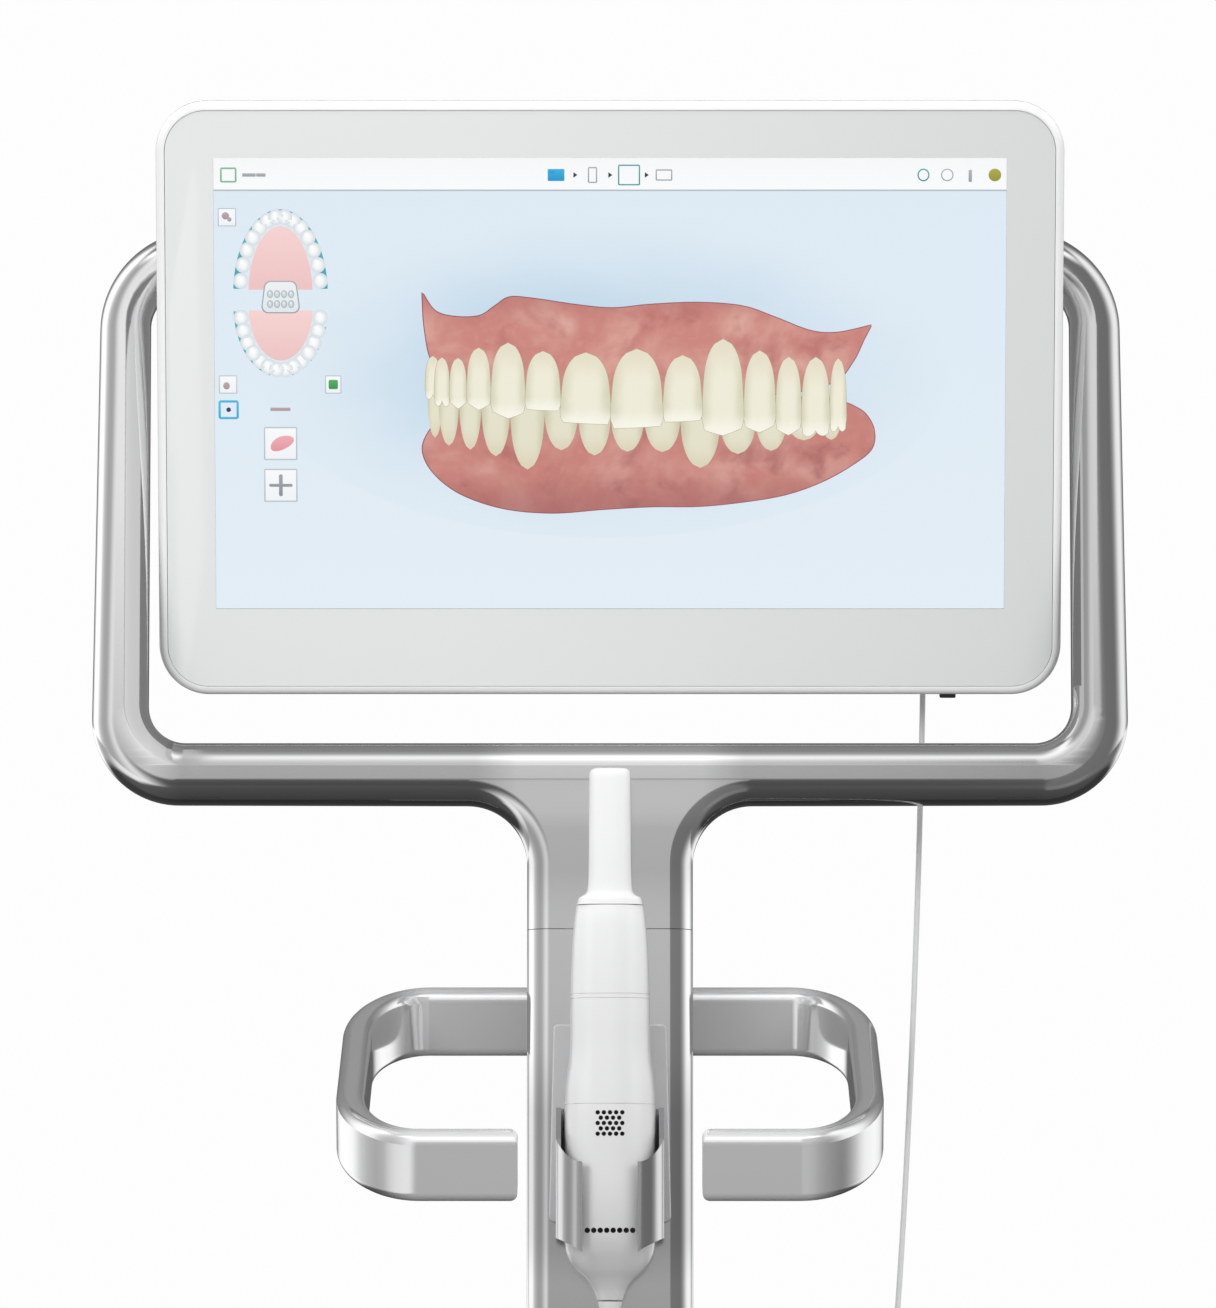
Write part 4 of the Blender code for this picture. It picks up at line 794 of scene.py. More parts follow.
def lit_material(name, colour_of):
    """A material of plain light, coloured by a function of its tree and its place on the layer."""
    made, tree, _ = material(name)
    tree.nodes.remove(tree.nodes["Principled BSDF"])
    glow = add(tree, "Emission", {"Color": colour_of(tree, add(tree, "UVMap")), "Strength": glow_strength})
    tree.links.new(glow, tree.nodes["Material Output"].inputs["Surface"])
    return made


def lit(name, low, high, axis="Y", grain=0.02, grain_scale=60.0):
    """A lit layer whose colour runs between two values along one of its own directions."""
    def colour_of(tree, place):
        noise = noise_of(tree, place, grain_scale, 3.0)
        share = add(tree, "Math", {0: noise, 1: grain, 2: part_of(tree, place, axis)}, operation="MULTIPLY_ADD")
        return mixed(tree, share, linear(low), linear(high))

    return lit_material(name, colour_of)


def domed(name, edge, middle, shine, tilt=0.35):
    """A lit layer shaded like a rounded lump: darker to its edges, with a soft shine above the middle."""
    def colour_of(tree, place):
        reach = add(tree, "VectorMath", {0: place}, operation="LENGTH")
        noise = noise_of(tree, place, 2.6)
        rough_edge = add(tree, "Math", {0: noise, 1: 0.35, 2: reach}, operation="MULTIPLY_ADD")
        lifted = add(tree, "VectorMath", {0: place, 1: (-0.15, tilt, 0.0)}, operation="SUBTRACT")
        near = add(tree, "VectorMath", {0: lifted}, operation="LENGTH")
        body = mixed(tree, eased_range(tree, rough_edge, 1.25, 0.35), linear(edge), linear(middle))
        return mixed(tree, eased_range(tree, near, 0.5, 0.05), body, linear(shine))

    return lit_material(name, colour_of)


def gum_look(name, dark, plain, pale, low_edge, high_edge):
    """A lit layer like gum: patches of a pale and a dark tone, darker towards one long edge."""
    def colour_of(tree, place):
        stretched = add(tree, "VectorMath", {0: place, 1: (5.2, 1.3, 1.0)}, operation="MULTIPLY")
        colour = linear(plain)
        for scale, share, tone, low, high in (
            (1.5, 1.0, pale, 0.42, 0.70), (2.3, 0.75, dark, 0.50, 0.74), (9.0, 0.22, pale, 0.45, 0.75),
        ):
            noise = noise_of(tree, stretched, scale, Distortion=0.4)
            colour = mixed(tree, eased_range(tree, noise, low, high, share), colour, linear(tone))
        edge = eased_range(tree, part_of(tree, place, "Y"), low_edge, high_edge, 0.6)
        return mixed(tree, edge, colour, linear(dark))

    return lit_material(name, colour_of)


def tooth_look(name, edge, middle, tip, neck, tip_up):
    """A lit layer like enamel: shaded to both sides, with a clear cutting edge and a warmer neck."""
    def colour_of(tree, place):
        noise, up = noise_of(tree, place, 1.9), part_of(tree, place, "Y")
        across = add(tree, "Math", {0: part_of(tree, place, "X")}, operation="ABSOLUTE")
        colour = linear(middle)
        for source, tone, low, high, share in (
            (across, edge, 0.35, 1.05, 1.0),
            (up, tip, *((0.55, 1.0) if tip_up else (-0.50, -0.95)), 0.75),
            (up, neck, *((-0.20, -1.0) if tip_up else (0.10, 1.0)), 0.65),
        ):
            sign = 1 if high > low else -1
            rough = add(tree, "Math", {0: noise, 1: sign * 0.30, 2: source}, operation="MULTIPLY_ADD")
            reach = eased_range(tree, rough, low + sign * 0.15, high + sign * 0.15, share)
            colour = mixed(tree, reach, colour, linear(tone))
        return colour

    return lit_material(name, colour_of)


def picture(name, outlines, look, layer, centred=False, lift=0.0):
    """Flat outlines on the display at a layer height, each lifted over the last, with a UV from 0 or -1 to 1."""
    form = bmesh.new()
    uv = form.loops.layers.uv.new("UVMap")
    for index, points in enumerate(outlines):
        low, high = np.min(points, axis=0), np.max(points, axis=0)
        verts = [form.verts.new((x, y, index * lift * layer_step)) for x, y in wound(list(points), True)]
        for loop in form.faces.new(verts).loops:
            share = (np.array(loop.vert.co[:2]) - low) / (high - low)
            loop[uv].uv = tuple(2 * share - 1 if centred else share)
    form.normal_update()
    bmesh.ops.triangulate(form, faces=form.faces)
    place = screen_place @ shift(z=panel_front + (layer + 1) * layer_step)
    finished(name, mesh_of(form), place, look, "screen", smooth=180).visible_glossy = False


def sign(name, low, high, layer, outlines):
    picture(name, outlines, lit(name, low, high), layer)


def spot(across, down):
    """A place on the display, in parts of its width from the left and of its height from the top."""
    return (across * 2 - 1) * display_half_width, display_top - down * (display_top - display_bottom)


def area_of(left, top, right, bottom):
    (x0, y1), (x1, y0) = spot(left, top), spot(right, bottom)
    return box_outline(x0, y0, x1, y1)


def around(centre, half_x, half_y, radius=0.0, steps=6):
    """A box round a point in metres."""
    return box_outline(centre[0] - half_x, centre[1] - half_y, centre[0] + half_x, centre[1] + half_y, radius, steps)


def small(across, down, *sizes):
    return around(spot(across, down), *sizes)


def frame_of(across, down, half_x, half_y, line):
    """The four sides of a small box's frame."""
    x, y = spot(across, down)
    return [around((x, y + half_y), half_x, line), around((x, y - half_y), half_x, line),
            around((x + half_x, y), line, half_y), around((x - half_x, y), line, half_y)]


def ring_of(centre, reach, width, start=0.0, end=2 * math.pi):
    """A band along part of an ellipse."""
    outer, inner = (
        arc(centre, (reach[0] + half, reach[1] + half), np.linspace(start, end, 64)) for half in (width / 2, -width / 2)
    )
    return outer + inner[::-1]


sign("view_field", (227, 238, 246), (222, 235, 245), 0, [area_of(0, 0, 1, 1)])
sign("view_header", (250, 251, 252), (246, 248, 250), 1, [area_of(0, 0, 1, 0.070)])
sign("view_header_line", (176, 184, 192), (192, 199, 206), 1, [area_of(0, 0.070, 1, 0.0735)])

# Header signs: plain shapes in place of the real ones
header = 0.038
sign("sign_blue", (40, 150, 205), (70, 178, 225), 2, [
    small(0.432, header, 0.0050, 0.0036, 0.0006), small(0.4265, 0.030, 0.0018, 0.0012),
])
sign("sign_grey", (150, 158, 164), (176, 182, 188), 2, [
    *frame_of(0.478, header, 0.0024, 0.0044, 0.0004), *frame_of(0.568, header, 0.0046, 0.0030, 0.0004),
    ring_of(spot(0.925, header), (0.0034, 0.0034), 0.0007), small(0.954, 0.040, 0.0010, 0.0036, 0.0004),
    small(0.045, header, 0.0040, 0.0010, 0.0003), small(0.060, header, 0.0028, 0.0010, 0.0003),
])
sign("sign_teal", (60, 140, 150), (90, 165, 172), 2, [
    *frame_of(0.524, header, 0.0062, 0.0058, 0.0004), ring_of(spot(0.895, header), (0.0032, 0.0034), 0.0008),
])
sign("sign_green", (120, 175, 140), (140, 190, 155), 2, frame_of(0.019, header, 0.0044, 0.0040, 0.0005))
sign("sign_olive", (150, 150, 60), (176, 172, 80), 2, [disc_of(spot(0.985, header), (0.0038, 0.0038))])
sign("sign_arrows", (50, 55, 60), (70, 75, 80), 2, [
    [(x - 0.0010, y - 0.0017), (x + 0.0014, y), (x - 0.0010, y + 0.0017)]
    for x, y in (spot(across, header) for across in (0.456, 0.500, 0.546))
])

# Side column: two arches of teeth, and small boxes
arch_x = 0.084
for name, middle_y, half_height, start in (("upper", 0.300, 0.0485, 0.06), ("lower", 0.330, 0.0400, math.pi + 0.06)):
    centre, reach, end = spot(arch_x, middle_y), (0.0262, half_height), start + math.pi - 0.12
    sign(f"arch_{name}_line", (70, 165, 180), (96, 182, 194), 1, [ring_of(centre, reach, 0.0042, start, end)])
    steps = [start + (step + 0.5) / 14 * (end - start) for step in range(14)]
    middles = arc(centre, (reach[0] - 0.0022, reach[1] - 0.0024), steps)
    teeth = [disc_of(middle, (0.0046, 0.0048), 24) for middle in middles]
    tooth_white = domed(f"arch_{name}_teeth", (214, 222, 226), (250, 252, 252), (255, 255, 255))
    picture(f"arch_{name}_teeth", teeth, tooth_white, 2, True)
    inner = arc(centre, (reach[0] - 0.0070, reach[1] - 0.0080), np.linspace(start, end, 40))
    sign(f"arch_{name}_gum", (238, 196, 196), (246, 212, 210), 3, [inner])
head_x, head_y = spot(arch_x, 0.312)
for name, low, high, layer, radius, wide, down, narrow, up in (
    ("arch_head_line", (150, 160, 165), (166, 176, 180), 4, 0.004, 0.0120, 0.0085, 0.0095, 0.0110),
    ("arch_head", (226, 232, 236), (238, 242, 244), 5, 0.0036, 0.0113, 0.0078, 0.0088, 0.0103),
):
    sign(name, low, high, layer, [rounded_outline([
        (head_x - wide, head_y - down, radius), (head_x + wide, head_y - down, radius),
        (head_x + narrow, head_y + up, radius), (head_x - narrow, head_y + up, radius),
    ], 8)])
cells = [disc_of((head_x + dx * 0.0042, head_y + dy * 0.0050), (0.0019, 0.0024), 16)
         for dx in (-1.5, -0.5, 0.5, 1.5) for dy in (-0.6, 0.6)]
cell_grey = domed("arch_head_cells", (170, 182, 188), (214, 222, 226), (240, 244, 246))
picture("arch_head_cells", cells, cell_grey, 6, True)
boxes = (
    (0.017, 0.131, 0.0052, 0.0052, 0.0003), (0.017, 0.501, 0.0052, 0.0052, 0.0003),
    (0.150, 0.501, 0.0046, 0.0052, 0.0003), (0.083, 0.632, 0.0096, 0.0096, 0.0004),
    (0.083, 0.725, 0.0096, 0.0096, 0.0004),
)
sign("box_frames", (178, 188, 196), (196, 204, 210), 3, [side for box in boxes for side in frame_of(*box)])
fill_insets = (0.0002, 0.0002, 0.0002, 0.0004, 0.0004)
sign("box_fills", (240, 244, 247), (248, 250, 251), 2, [
    small(across, down, half_x - inset, half_y - inset)
    for (across, down, half_x, half_y, _), inset in zip(boxes, fill_insets)
])
sign("box_cyan", (60, 170, 215), (90, 190, 228), 3, frame_of(0.0175, 0.557, 0.0054, 0.0050, 0.0007))
sign("box_dot", (40, 60, 90), (60, 80, 110), 4, [disc_of(spot(0.0175, 0.557), (0.0014, 0.0014), 20)])
leaf_x, leaf_y = spot(0.083, 0.632)
sign("box_leaf", (228, 150, 160), (240, 176, 182), 4, [[
    (leaf_x + 0.0070 * math.cos(a) * (1 + 0.15 * math.cos(a)), leaf_y + 0.0042 * math.sin(a) + 0.0022 * math.cos(a))
    for a in np.linspace(0, 2 * math.pi, 40, False)
]])
sign("box_cross", (140, 146, 152), (160, 166, 172), 4, [
    small(0.083, 0.725, 0.0070, 0.0009, 0.0008, 5), small(0.083, 0.725, 0.0011, 0.0066, 0.0009, 5),
])
sign("box_marks", (170, 150, 156), (190, 170, 174), 4, [
    disc_of(spot(0.015, 0.128), (0.0022, 0.0022), 20), disc_of(spot(0.020, 0.136), (0.0013, 0.0013), 16),
    disc_of(spot(0.015, 0.504), (0.0020, 0.0022), 20), small(0.083, 0.556, 0.0060, 0.0010, 0.0004),
])
sign("box_tick", (60, 150, 80), (90, 175, 105), 4, [small(0.150, 0.501, 0.0028, 0.0028, 0.0010)])

# Scan on the display: own shapes for two rows of teeth between gums
scan_middle = 0.503


def soft_line(points, steps=8):
    """A smooth open line through points."""
    line, last = [], len(points) - 1
    for index in range(last):
        p0, p1, p2, p3 = (np.array(points[min(max(index + offset, 0), last)]) for offset in (-1, 0, 1, 2))
        for t in (step / steps for step in range(steps)):
            line.append(tuple(0.5 * (2 * p1 + (p2 - p0) * t + (2 * p0 - 5 * p1 + 4 * p2 - p3) * t**2
                                     + (3 * p1 - p0 - 3 * p2 + p3) * t**3)))
    return line


def scan_line(*points):
    """A smooth line, in parts of the display's width from the scan's middle and of its height from the top."""
    return soft_line([spot(scan_middle + across, down) for across, down in points])


# Each gum is a line along its free edge and a line behind the teeth, with a corner where they meet
upper_gum = scan_line(
    (-0.240, 0.298), (-0.224, 0.338), (-0.199, 0.351), (-0.168, 0.349), (-0.148, 0.327), (-0.130, 0.308),
    (-0.100, 0.311), (-0.045, 0.325), (0.000, 0.332), (0.050, 0.324), (0.111, 0.320), (0.165, 0.328), (0.205, 0.352),
    (0.250, 0.382), (0.285, 0.386), (0.327, 0.370),
) + scan_line(
    (0.327, 0.370), (0.318, 0.400), (0.304, 0.450), (0.280, 0.495), (0.220, 0.520), (0.120, 0.530), (0.000, 0.540),
    (-0.120, 0.520), (-0.190, 0.500), (-0.226, 0.455), (-0.237, 0.380), (-0.240, 0.298),
)
lower_gum = scan_line(
    (-0.210, 0.560), (-0.185, 0.535), (-0.060, 0.530), (0.050, 0.530), (0.180, 0.530), (0.270, 0.532), (0.302, 0.546),
) + scan_line(
    (0.302, 0.546), (0.320, 0.566), (0.331, 0.602), (0.328, 0.644), (0.303, 0.680), (0.266, 0.716), (0.222, 0.744),
    (0.172, 0.760), (0.111, 0.771), (0.049, 0.772), (-0.013, 0.778), (-0.076, 0.786), (-0.138, 0.776),
    (-0.192, 0.744), (-0.226, 0.698), (-0.240, 0.650), (-0.233, 0.608), (-0.210, 0.560),
)


def grown(points, extra):
    """A closed line moved sideways by a width, to the right of its direction."""
    loop = []
    for index, here in enumerate(points):
        ahead = np.array(points[(index + 1) % len(points)]) - np.array(points[index - 1])
        length = max(float(np.hypot(*ahead)), 1e-9)
        loop.append(tuple(here + np.array((ahead[1], -ahead[0])) / length * extra))
    return loop


picture("scan_shade", [disc_of(spot(scan_middle - 0.010, 0.480), (0.205, 0.098), 64)],
        domed("scan_shade", (224, 236, 245), (196, 218, 235), (194, 217, 234), 0.2), 1, True)
picture("scan_gum_line", [grown(upper_gum, -0.0006), grown(lower_gum, -0.0006)],
        lit("scan_gum_line", (142, 88, 98), (160, 104, 112), "X", grain=0.5, grain_scale=9.0), 2)
picture("scan_gum_upper", [upper_gum],
        gum_look("scan_gum_upper", (182, 112, 108), (204, 136, 128), (222, 170, 158), 0.70, 1.0), 3)
picture("scan_gum_lower", [lower_gum],
        gum_look("scan_gum_lower", (164, 100, 100), (200, 132, 124), (214, 160, 150), 0.42, 0.02), 3)


def crown_outline(middle, root_end, cut_end, half_x, neck, belly, cusps, depth, lean):
    """A tooth: a neck arched into the gum, a widest part near the cutting edge, and cusps along that edge."""
    height = root_end - cut_end
    way = 1 if height > 0 else -1
    loop = []
    for u in np.linspace(-0.86, 0.86, 15):
        dip = (0.16 * (1 - u * u), 1.0 - abs(u) ** 1.1, abs(math.sin(math.pi * u)) ** 0.7 * 0.8)[cusps]
        loop.append((middle + half_x * u, cut_end + way * (lean * half_x * u - depth * dip)))
    side = []
    for share in np.linspace(0.0, 1.0, 18):
        closing = max(0.0, (share - belly) / (1.0 - belly))
        wide = (1.0 - neck * share**1.4) * (1.0 - closing**2.5) ** 0.5 * (0.90 + 0.10 * min(1.0, share / 0.12) ** 0.5)
        side.append((half_x * wide, cut_end + height * (0.03 + 0.97 * share)))
    return loop + [(middle + x, y) for x, y in side] + [(middle - x, y) for x, y in side[-2::-1]]


# One side's teeth from the middle outwards, in millimetres: width, neck and cutting edge over or under their
# rows' own lines, and the number of cusps
upper_crowns = (
    (8.6, 0.0, 0.0, 0), (6.8, -0.3, 1.5, 0), (8.0, 1.8, 0.6, 1), (7.2, 0.2, 1.3, 1), (7.0, -0.8, 0.9, 1),
    (10.2, -1.2, 0.4, 2), (9.4, -0.8, 0.9, 2),
)
lower_crowns = (
    (5.5, 0.0, 0.0, 0), (6.1, 0.1, 0.0, 0), (7.1, -2.5, 0.0, 1), (7.3, -0.8, 0.0, 1), (7.4, 0.2, 0.0, 1),
    (10.8, 0.9, 0.0, 2), (9.6, 1.4, 0.0, 2),
)
row_half_width, row_depth, row_turn = 34.6, 45.0, math.radians(6.7)
photo_display_pixels, photo_pixels_per_millimetre = 792, 6.1
row_scale = photo_pixels_per_millimetre / photo_display_pixels * 2 * display_half_width
row_x, row_y = spot(scan_middle - 0.002, 0.500)


def row_point(turn):
    """Across and depth of a row of teeth seen a little from one side, in millimetres."""
    x, z = row_half_width * math.sin(turn), row_depth * (1.0 - math.cos(turn))
    return x * math.cos(row_turn) + z * math.sin(row_turn), z


def row_of(crowns, root_line, cut_line, up, neck, belly, crowding):
    """The teeth of a row from back to front: each one's outline on the display."""
    found = []
    for side in (-1, 1):
        turn = 0.0
        for index, (wide, root_over, cut_over, cusps) in enumerate(crowns):
            first = row_point(turn)
            for _ in range(24):
                turn += side * wide / 24 / math.hypot(row_half_width * math.cos(turn), row_depth * math.sin(turn))
            last = row_point(turn)
            x, z = (first[0] + last[0]) / 2, (first[1] + last[1]) / 2
            half = max(abs(last[0] - first[0]) / 2 * crowding, 1.3)
            sway = 0.4 * math.sin(2.7 * index + side + 0.5 * up)
            cut = cut_line[0] + cut_line[1] * z + cut_line[2] * x + cut_over
            root = root_line[0] + root_line[1] * z + root_line[2] * x + root_over + sway
            found.append((z, crown_outline(
                row_x + x * row_scale, row_y + root * row_scale, row_y + cut * row_scale, half * row_scale, neck,
                belly, cusps, (1.2 if cusps else 0.5) * row_scale * up, 0.05 * side,
            )))
    return [outline for z, outline in sorted(found, key=lambda pair: -pair[0])]


tooth_line = lit("scan_tooth_line", (168, 152, 126), (182, 168, 140), grain=0.2)
lower_row = row_of(lower_crowns, (-11.4, 0.030, 0.005), (-3.0, 0.050, -0.070), -1, 0.30, 0.42, 1.05)
upper_row = row_of(upper_crowns, (5.4, 0.0, 0.0), (-6.8, 0.058, -0.080), 1, 0.24, 0.50, 1.03)
for name, row, layer, looks in (
    ("lower", lower_row, 4.0, ((204, 201, 174), (229, 226, 204), (241, 240, 224), (215, 204, 176), True)),
    ("upper", upper_row, 9.0, ((212, 209, 184), (236, 233, 214), (247, 247, 236), (222, 213, 189), False)),
):
    picture(f"scan_{name}_lines", [grown(one, 0.00022) for one in row], tooth_line, layer, lift=0.30)
    picture(f"scan_{name}_teeth", row, tooth_look(f"scan_{name}_teeth", *looks), layer + 0.15, True, lift=0.30)

# Rear cover with its electronics housing
cover_front = rim_back - gap


def housing_mesh(smaller, wall, reach, rounding, segments):
    """A block like the housing: smaller by a measure, in front of a wall, and reaching past the cover's front."""
    back, front = housing_back + wall, cover_front + reach
    return box_mesh(
        (2 * housing_half - smaller, housing_top - housing_bottom - smaller, front - back),
        (0.0, (housing_top + housing_bottom) / 2, (front + back) / 2), rounding, segments,
    )


rear = finished("rear_shell", flat_mesh(screen_outline(0.0), (), 0.016, 0.0075, 8), screen_place @ shift(z=cover_front),
                moulded_white, "screen", "rear_cover")
combine(rear, "UNION", tool("housing", housing_mesh(0.0, 0.0, 0.010, 0.010, 6), screen_place, moulded_white))
cover_half = box_mesh((0.8, 0.8, 0.1), (0.0, 0.0, cover_front - 0.05))
combine(rear, "INTERSECT", tool("cover_half", cover_half, screen_place, moulded_white))
recess = box_mesh((0.1516, 0.0756, 0.015), (0.0, 0.0, cover_front - 0.008))
socket_place = shift(plug_x, housing_bottom, plug_forward) @ Matrix.Rotation(math.pi / 2, 4, "X")
combine(
    rear, "DIFFERENCE",
    tool("housing_hollow", housing_mesh(0.005, 0.0025, 0.02, 0.0075, 3), screen_place, moulded_white),
    tool("bracket_recess", recess, screen_place, moulded_grey),
    tool("socket", cylinder_mesh(0.0059, 0.03, socket_place), screen_place, vent_black),
)
weighted(edged(rear, 0.0005))

# Wheeled base
arm_count, arm_reach, arm_root_half, arm_tip_half, arm_thickness = 5, 0.305, 0.036, 0.024, 0.024
arm_angles = [math.radians(-90 + 360 / arm_count * index) for index in range(arm_count)]
half_sector = math.pi / arm_count
notch_radius = arm_root_half / math.sin(half_sector) * 1.03
star_corners = []
for angle in arm_angles:
    forward = np.array((math.cos(angle), math.sin(angle)))
    aside = np.array((-forward[1], forward[0])) * arm_tip_half
    for corner in (forward * (arm_reach + arm_tip_half) - aside, forward * (arm_reach + arm_tip_half) + aside):
        star_corners.append((corner[0], corner[1] + hub_y, arm_tip_half * 0.98))
    notch = arc((0.0, hub_y), (notch_radius, notch_radius), [angle + half_sector])[0]
    star_corners.append((*notch, 0.045))
tip_points = arc((0.0, hub_y), (arm_reach, arm_reach), arm_angles)
star = finished(
    "star_base", flat_mesh(rounded_outline(star_corners, 16), (), arm_thickness, 0.006, 6),
    shift(z=arm_top_z - arm_thickness / 2), moulded_white, "stand", "wheel_base",
)
stem_holes = joined([cylinder_mesh(0.0059, 0.0368, shift(x, y, arm_top_z - arm_thickness), 32) for x, y in tip_points])
cut(star, "stem_holes", stem_holes, Matrix(), vent_black)
weighted(star)

cover_profile = [(radius, arm_top_z + up) for radius, up in (
    (0.0, gap), (0.0818, gap), (0.082, 0.0006), (0.082, 0.0058), (0.0813, 0.0085), (0.0796, 0.0112), (0.0766, 0.0140),
    (0.0722, 0.0170), (0.0680, 0.0192), (0.0630, 0.0208), (0.0580, 0.0217), (0.0540, 0.0220), (0.0, 0.0220),
)]
hub_cover = finished("hub_cover", turned_mesh(cover_profile, 128), shift(y=hub_y), moulded_white, "stand", "base_cover")
foot_gap = 0.0008
foot_hole = flat_mesh(
    around((0.0, post_y), post_half + foot_gap, frame_depth / 2 + foot_gap, frame_rounding, 24), (), 0.1
)
cut(hub_cover, "foot_hole", foot_hole, shift(z=arm_top_z + 0.02), vent_black)
weighted(edged(hub_cover, 0.0004))
for low_piece in (star, hub_cover):
    low_piece.visible_glossy = False

# Casters
wheel_radius, caster_trail = 0.0375, 0.024


def mirrored(half_profile):
    """A wheel's whole profile from its half on one side, closed."""
    return half_profile + [(radius, -across) for radius, across in reversed(half_profile)] + half_profile[:1]


tyre_profile = mirrored([
    (0.0290, -0.0080), (0.0300, -0.0090), (0.0335, -0.0099), (0.0352, -0.0094), (0.0364, -0.0082), (0.0372, -0.0062),
    (0.0375, -0.0040), (0.0375, -0.0012), (0.0371, -0.0008),
])
hub_profile = mirrored([
    (0.0044, -0.0110), (0.0112, -0.0110), (0.0119, -0.0106), (0.0124, -0.0088), (0.0150, -0.0078), (0.0240, -0.0078),
    (0.0262, -0.0084), (0.0289, -0.0084),
])
for number, (tip_x, tip_y) in enumerate(tip_points, 1):
    axle_place = shift(tip_x, tip_y + caster_trail, wheel_radius) @ Matrix.Rotation(math.pi / 2, 4, "Y")
    finished(f"tyre_{number}", turned_mesh(tyre_profile), axle_place, tyre_rubber, f"wheel_{number}",
             f"caster_wheel_{number}")
    finished(f"wheel_hub_{number}", turned_mesh(hub_profile), axle_place, hub_plastic, f"wheel_{number}")
    dress(moulded_grey, 0.0005, f"caster_fork_{number}")
    dress(steel, 0.0004, f"caster_axle_{number}")

# Small solids that stay as they are
dress(
    steel, 0.0003, "post_spigot", "post_bolt_upper", "post_bolt_lower", "base_bolt", "ring_bolt_left",
    "ring_bolt_right", "cradle_screw_left", "cradle_screw_right", "tilt_journal_left", "tilt_journal_right",
    "bracket_screw_left", "bracket_screw_right", "cover_screw_upper_left", "cover_screw_upper_right",
    "cover_screw_lower_left", "cover_screw_lower_right", "heat_sink",
)
dress(clip_metal, 0.0005, "tilt_bracket", "collar_cap_left", "collar_cap_right")
dress(moulded_grey, 0.0005, "ring_bracket", "cable_plug", "cradle_seat")
dress(board_green, 0.0, "wand_board", "main_board")
dress(black_rubber, 0.0003, "wand_optics", "power_button")
dress(black_rubber, 0.0, "display_panel")
dress(clear_glass, 0.0, "wand_window")


# Studio: pale floor, soft lamps, and a surround that only reflections see
def seen_rays(tree):
    """1 for what the camera sees, also through glass."""
    rays = add(tree, "LightPath").node.outputs
    return add(tree, "Math", {0: rays["Is Camera Ray"], 1: rays["Is Transmission Ray"]}, operation="MAXIMUM")


floor_look = mottled("floor", (0.80, 0.80, 0.80), (0.82, 0.82, 0.82), 0.85, 0.95, 0.7, 40.0, 0.02)
floor_tree = floor_look.node_tree
floor_place = add(floor_tree, "TexCoord").node.outputs["Object"]
floor_reach = add(floor_tree, "VectorMath", {0: floor_place}, operation="LENGTH")
floor_fade = eased_range(floor_tree, floor_reach, 0.35, 1.30)
floor_seen = add(floor_tree, "Math", {0: floor_fade, 1: seen_rays(floor_tree)}, operation="MULTIPLY")
floor_glow = add(floor_tree, "Emission", {"Color": (1.0, 1.0, 1.0, 1.0), "Strength": 0.985})
floor_paint = floor_tree.nodes["Principled BSDF"].outputs["BSDF"]
floor_tree.links.new(
    add(floor_tree, "MixShader", {"Fac": floor_seen, 1: floor_paint, 2: floor_glow}),
    floor_tree.nodes["Material Output"].inputs["Surface"],
)
floor_form = bmesh.new()
bmesh.ops.create_grid(floor_form, x_segments=1, y_segments=1, size=30.0)
floor = linked(bpy.data.objects.new("floor", mesh_of(floor_form)))
floor.data.materials.append(floor_look)
floor.visible_glossy = False
floor.visible_diffuse = False


def flag(name, size, middle, place, strength):
    """A panel that only reflections see."""
    look, _, shader = material(name)
    shader["Base Color"].default_value = (0.0, 0.0, 0.0, 1.0)
    shader["Emission Color"].default_value = (1.0, 1.0, 1.0, 1.0)
    shader["Emission Strength"].default_value = strength
    obj = tool(name, box_mesh(size, middle), place, look)
    for ray in ("camera", "diffuse", "transmission", "shadow"):
        setattr(obj, f"visible_{ray}", False)


# At the inner edges of the uprights, behind the glass, and within the ring's rear bar
flag("flag_left", (0.003, 0.260, 0.118), (-0.262, 0.148, -0.041), post_place, 0.19)
flag("flag_left_front", (0.003, 0.260, 0.280), (-0.262, 0.148, 0.1585), post_place, 0.58)
flag("flag_right", (0.003, 0.225, 0.120), (0.262, 0.165, -0.040), post_place, 0.20)
flag("flag_screen", (2 * screen_half_width - 0.012, screen_top - screen_bottom - 0.012, 0.00001),
     (0.0, (screen_top + screen_bottom) / 2, panel_front + 0.00001), screen_place, 0.24)
flag("flag_ring", (0.270, 0.006, 0.036), (0.0, ring_rear_y, ring_z), Matrix(), 0.22)


def lamp(name, place, target, size, power):
    data = bpy.data.lights.new(name, "AREA")
    data.shape = "RECTANGLE"
    data.size, data.size_y = size
    data.energy = power
    obj = linked(bpy.data.objects.new(name, data))
    obj.location = place
    obj.rotation_euler = (Vector(target) - Vector(place)).to_track_quat("-Z", "Y").to_euler()
    obj.visible_glossy = False


lamp("lamp_left", (-2.4, -2.2, 3.0), (0.0, 0.1, 0.8), (1.6, 1.6), 58)
lamp("lamp_right", (2.4, -2.0, 2.8), (0.0, 0.1, 0.8), (1.6, 1.6), 34)
lamp("lamp_above", (0.0, 0.6, 3.6), (0.0, 0.1, 0.9), (2.4, 2.0), 44)

world = bpy.data.worlds.new("surround")
bpy.context.scene.world = world
world.use_nodes = True
sky = world.node_tree
sky.nodes.clear()
direction = add(sky, "TexCoord").node.outputs["Generated"]
ramp_gain = 2.0


def sums(operation, first, second=None, **settings):
    inputs = {0: first} if second is None else {0: first, 1: second}
    return add(sky, "Math", inputs, operation=operation, **settings)


def over_angle(source, stops):
    """Values up to the gain over an angle in degrees, divided by the gain, because a ramp stops at 1."""
    return ramp(sky, source, stops, math.pi / 180, 1 / ramp_gain)


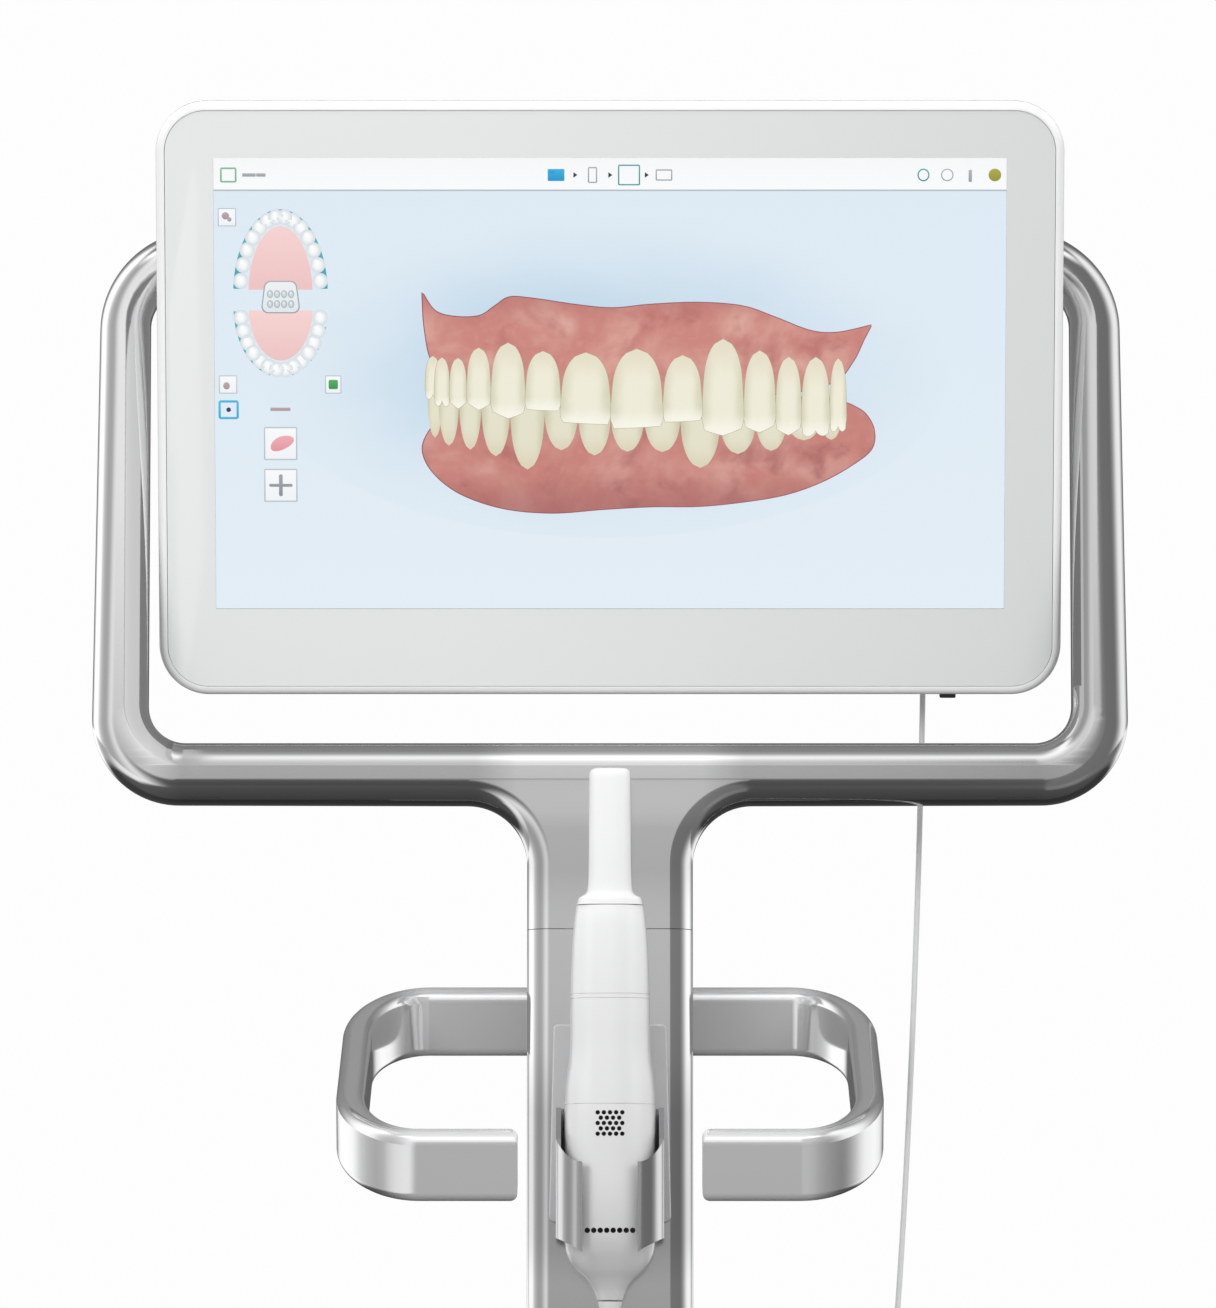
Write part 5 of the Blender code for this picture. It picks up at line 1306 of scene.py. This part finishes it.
# Elevation, and the angle round from the front (-Y) towards either side
height_angle = sums("ARCSINE", part_of(sky, direction, "Z"))
toward_front = sums("MULTIPLY", part_of(sky, direction, "Y"), -1.0)
side_angle = sums("ABSOLUTE", sums("ARCTAN2", part_of(sky, direction, "X"), toward_front))
front_light = over_angle(height_angle, [
    (-90, 0.06), (-34, 0.09), (-10, 0.11), (0, 0.09), (15, 0.11), (20, 0.30), (23, 0.45), (25.5, 0.48), (27.5, 0.88),
    (31, 0.80), (36, 0.74), (47, 1.00), (58, 1.30), (66, 1.25), (74, 0.85), (81, 0.52), (90, 0.42),
])
rear_light = over_angle(height_angle, [
    (-90, 0.03), (-30, 0.05), (-5, 0.12), (5, 0.18), (14, 0.19), (20, 0.24), (41, 0.20), (59, 0.23), (80, 0.33),
    (90, 0.42),
])
# Well below the horizon the bright side bands lie further round to the rear
band_shift = eased_range(sky, height_angle, math.radians(-14.4), math.radians(-16.6), math.radians(34))
turned_angle = sums("SUBTRACT", side_angle, band_shift)
left_light = over_angle(turned_angle, [
    (0, 0.85), (20, 0.80), (32, 0.66), (45, 0.42), (60, 0.38), (74, 0.46), (86, 0.64), (92, 0.88), (99, 1.10),
    (120, 1.15), (130, 0.90), (140, 0.42), (150, 0.20), (180, 0.12),
])
right_light = over_angle(turned_angle, [
    (0, 0.24), (10, 0.19), (55, 0.18), (63, 0.23), (71, 0.36), (79, 0.55), (87, 0.82), (95, 1.0), (112, 1.08),
    (122, 0.92), (132, 0.55), (143, 0.28), (155, 0.14), (180, 0.12),
])
on_right = add(sky, "MapRange", {"Value": part_of(sky, direction, "X"), "From Min": -0.05, "From Max": 0.05})
is_left = over_angle(side_angle, [(0, 0.0), (8, 0.0), (38, 2.0), (150, 2.0), (172, 0.0), (180, 0.0)])
is_right = over_angle(side_angle, [(0, 0.0), (3.4, 0.0), (6.6, 2.0), (150, 2.0), (172, 0.0), (180, 0.0)])
is_rear = over_angle(side_angle, [(0, 0.0), (70, 0.0), (110, 2.0), (180, 2.0)])
near_pole = over_angle(height_angle, [(-90, 2.0), (-36, 2.0), (-18, 0.0), (42, 0.0), (60, 2.0), (90, 2.0)])
side_light = mixed(sky, on_right, left_light, right_light)
is_side = mixed(sky, on_right, is_left, is_right)
side_gate = sums(
    "SUBTRACT", sums("MULTIPLY", is_side, ramp_gain), sums("MULTIPLY", near_pole, ramp_gain), use_clamp=True
)
through = mixed(sky, sums("MULTIPLY", is_rear, ramp_gain), front_light, rear_light)
everywhere = mixed(sky, side_gate, through, side_light)
soft_light = over_angle(height_angle, [(-90, 0.10), (-50, 0.12), (-28, 0.50), (0, 0.62), (90, 0.64)])

reflected = add(sky, "Background", {"Color": everywhere, "Strength": ramp_gain})
soft = add(sky, "Background", {"Color": soft_light, "Strength": ramp_gain})
white = add(sky, "Background", {"Color": (1.0, 1.0, 1.0, 1.0)})
glossy_ray = add(sky, "LightPath").node.outputs["Is Glossy Ray"]
lighting = add(sky, "MixShader", {"Fac": glossy_ray, 1: soft, 2: reflected})
surround = add(sky, "MixShader", {"Fac": seen_rays(sky), 1: lighting, 2: white})
sky.links.new(surround, sky.nodes.new("ShaderNodeOutputWorld").inputs["Surface"])

bpy.context.scene.view_settings.view_transform = "Standard"
bpy.context.view_layer.update()
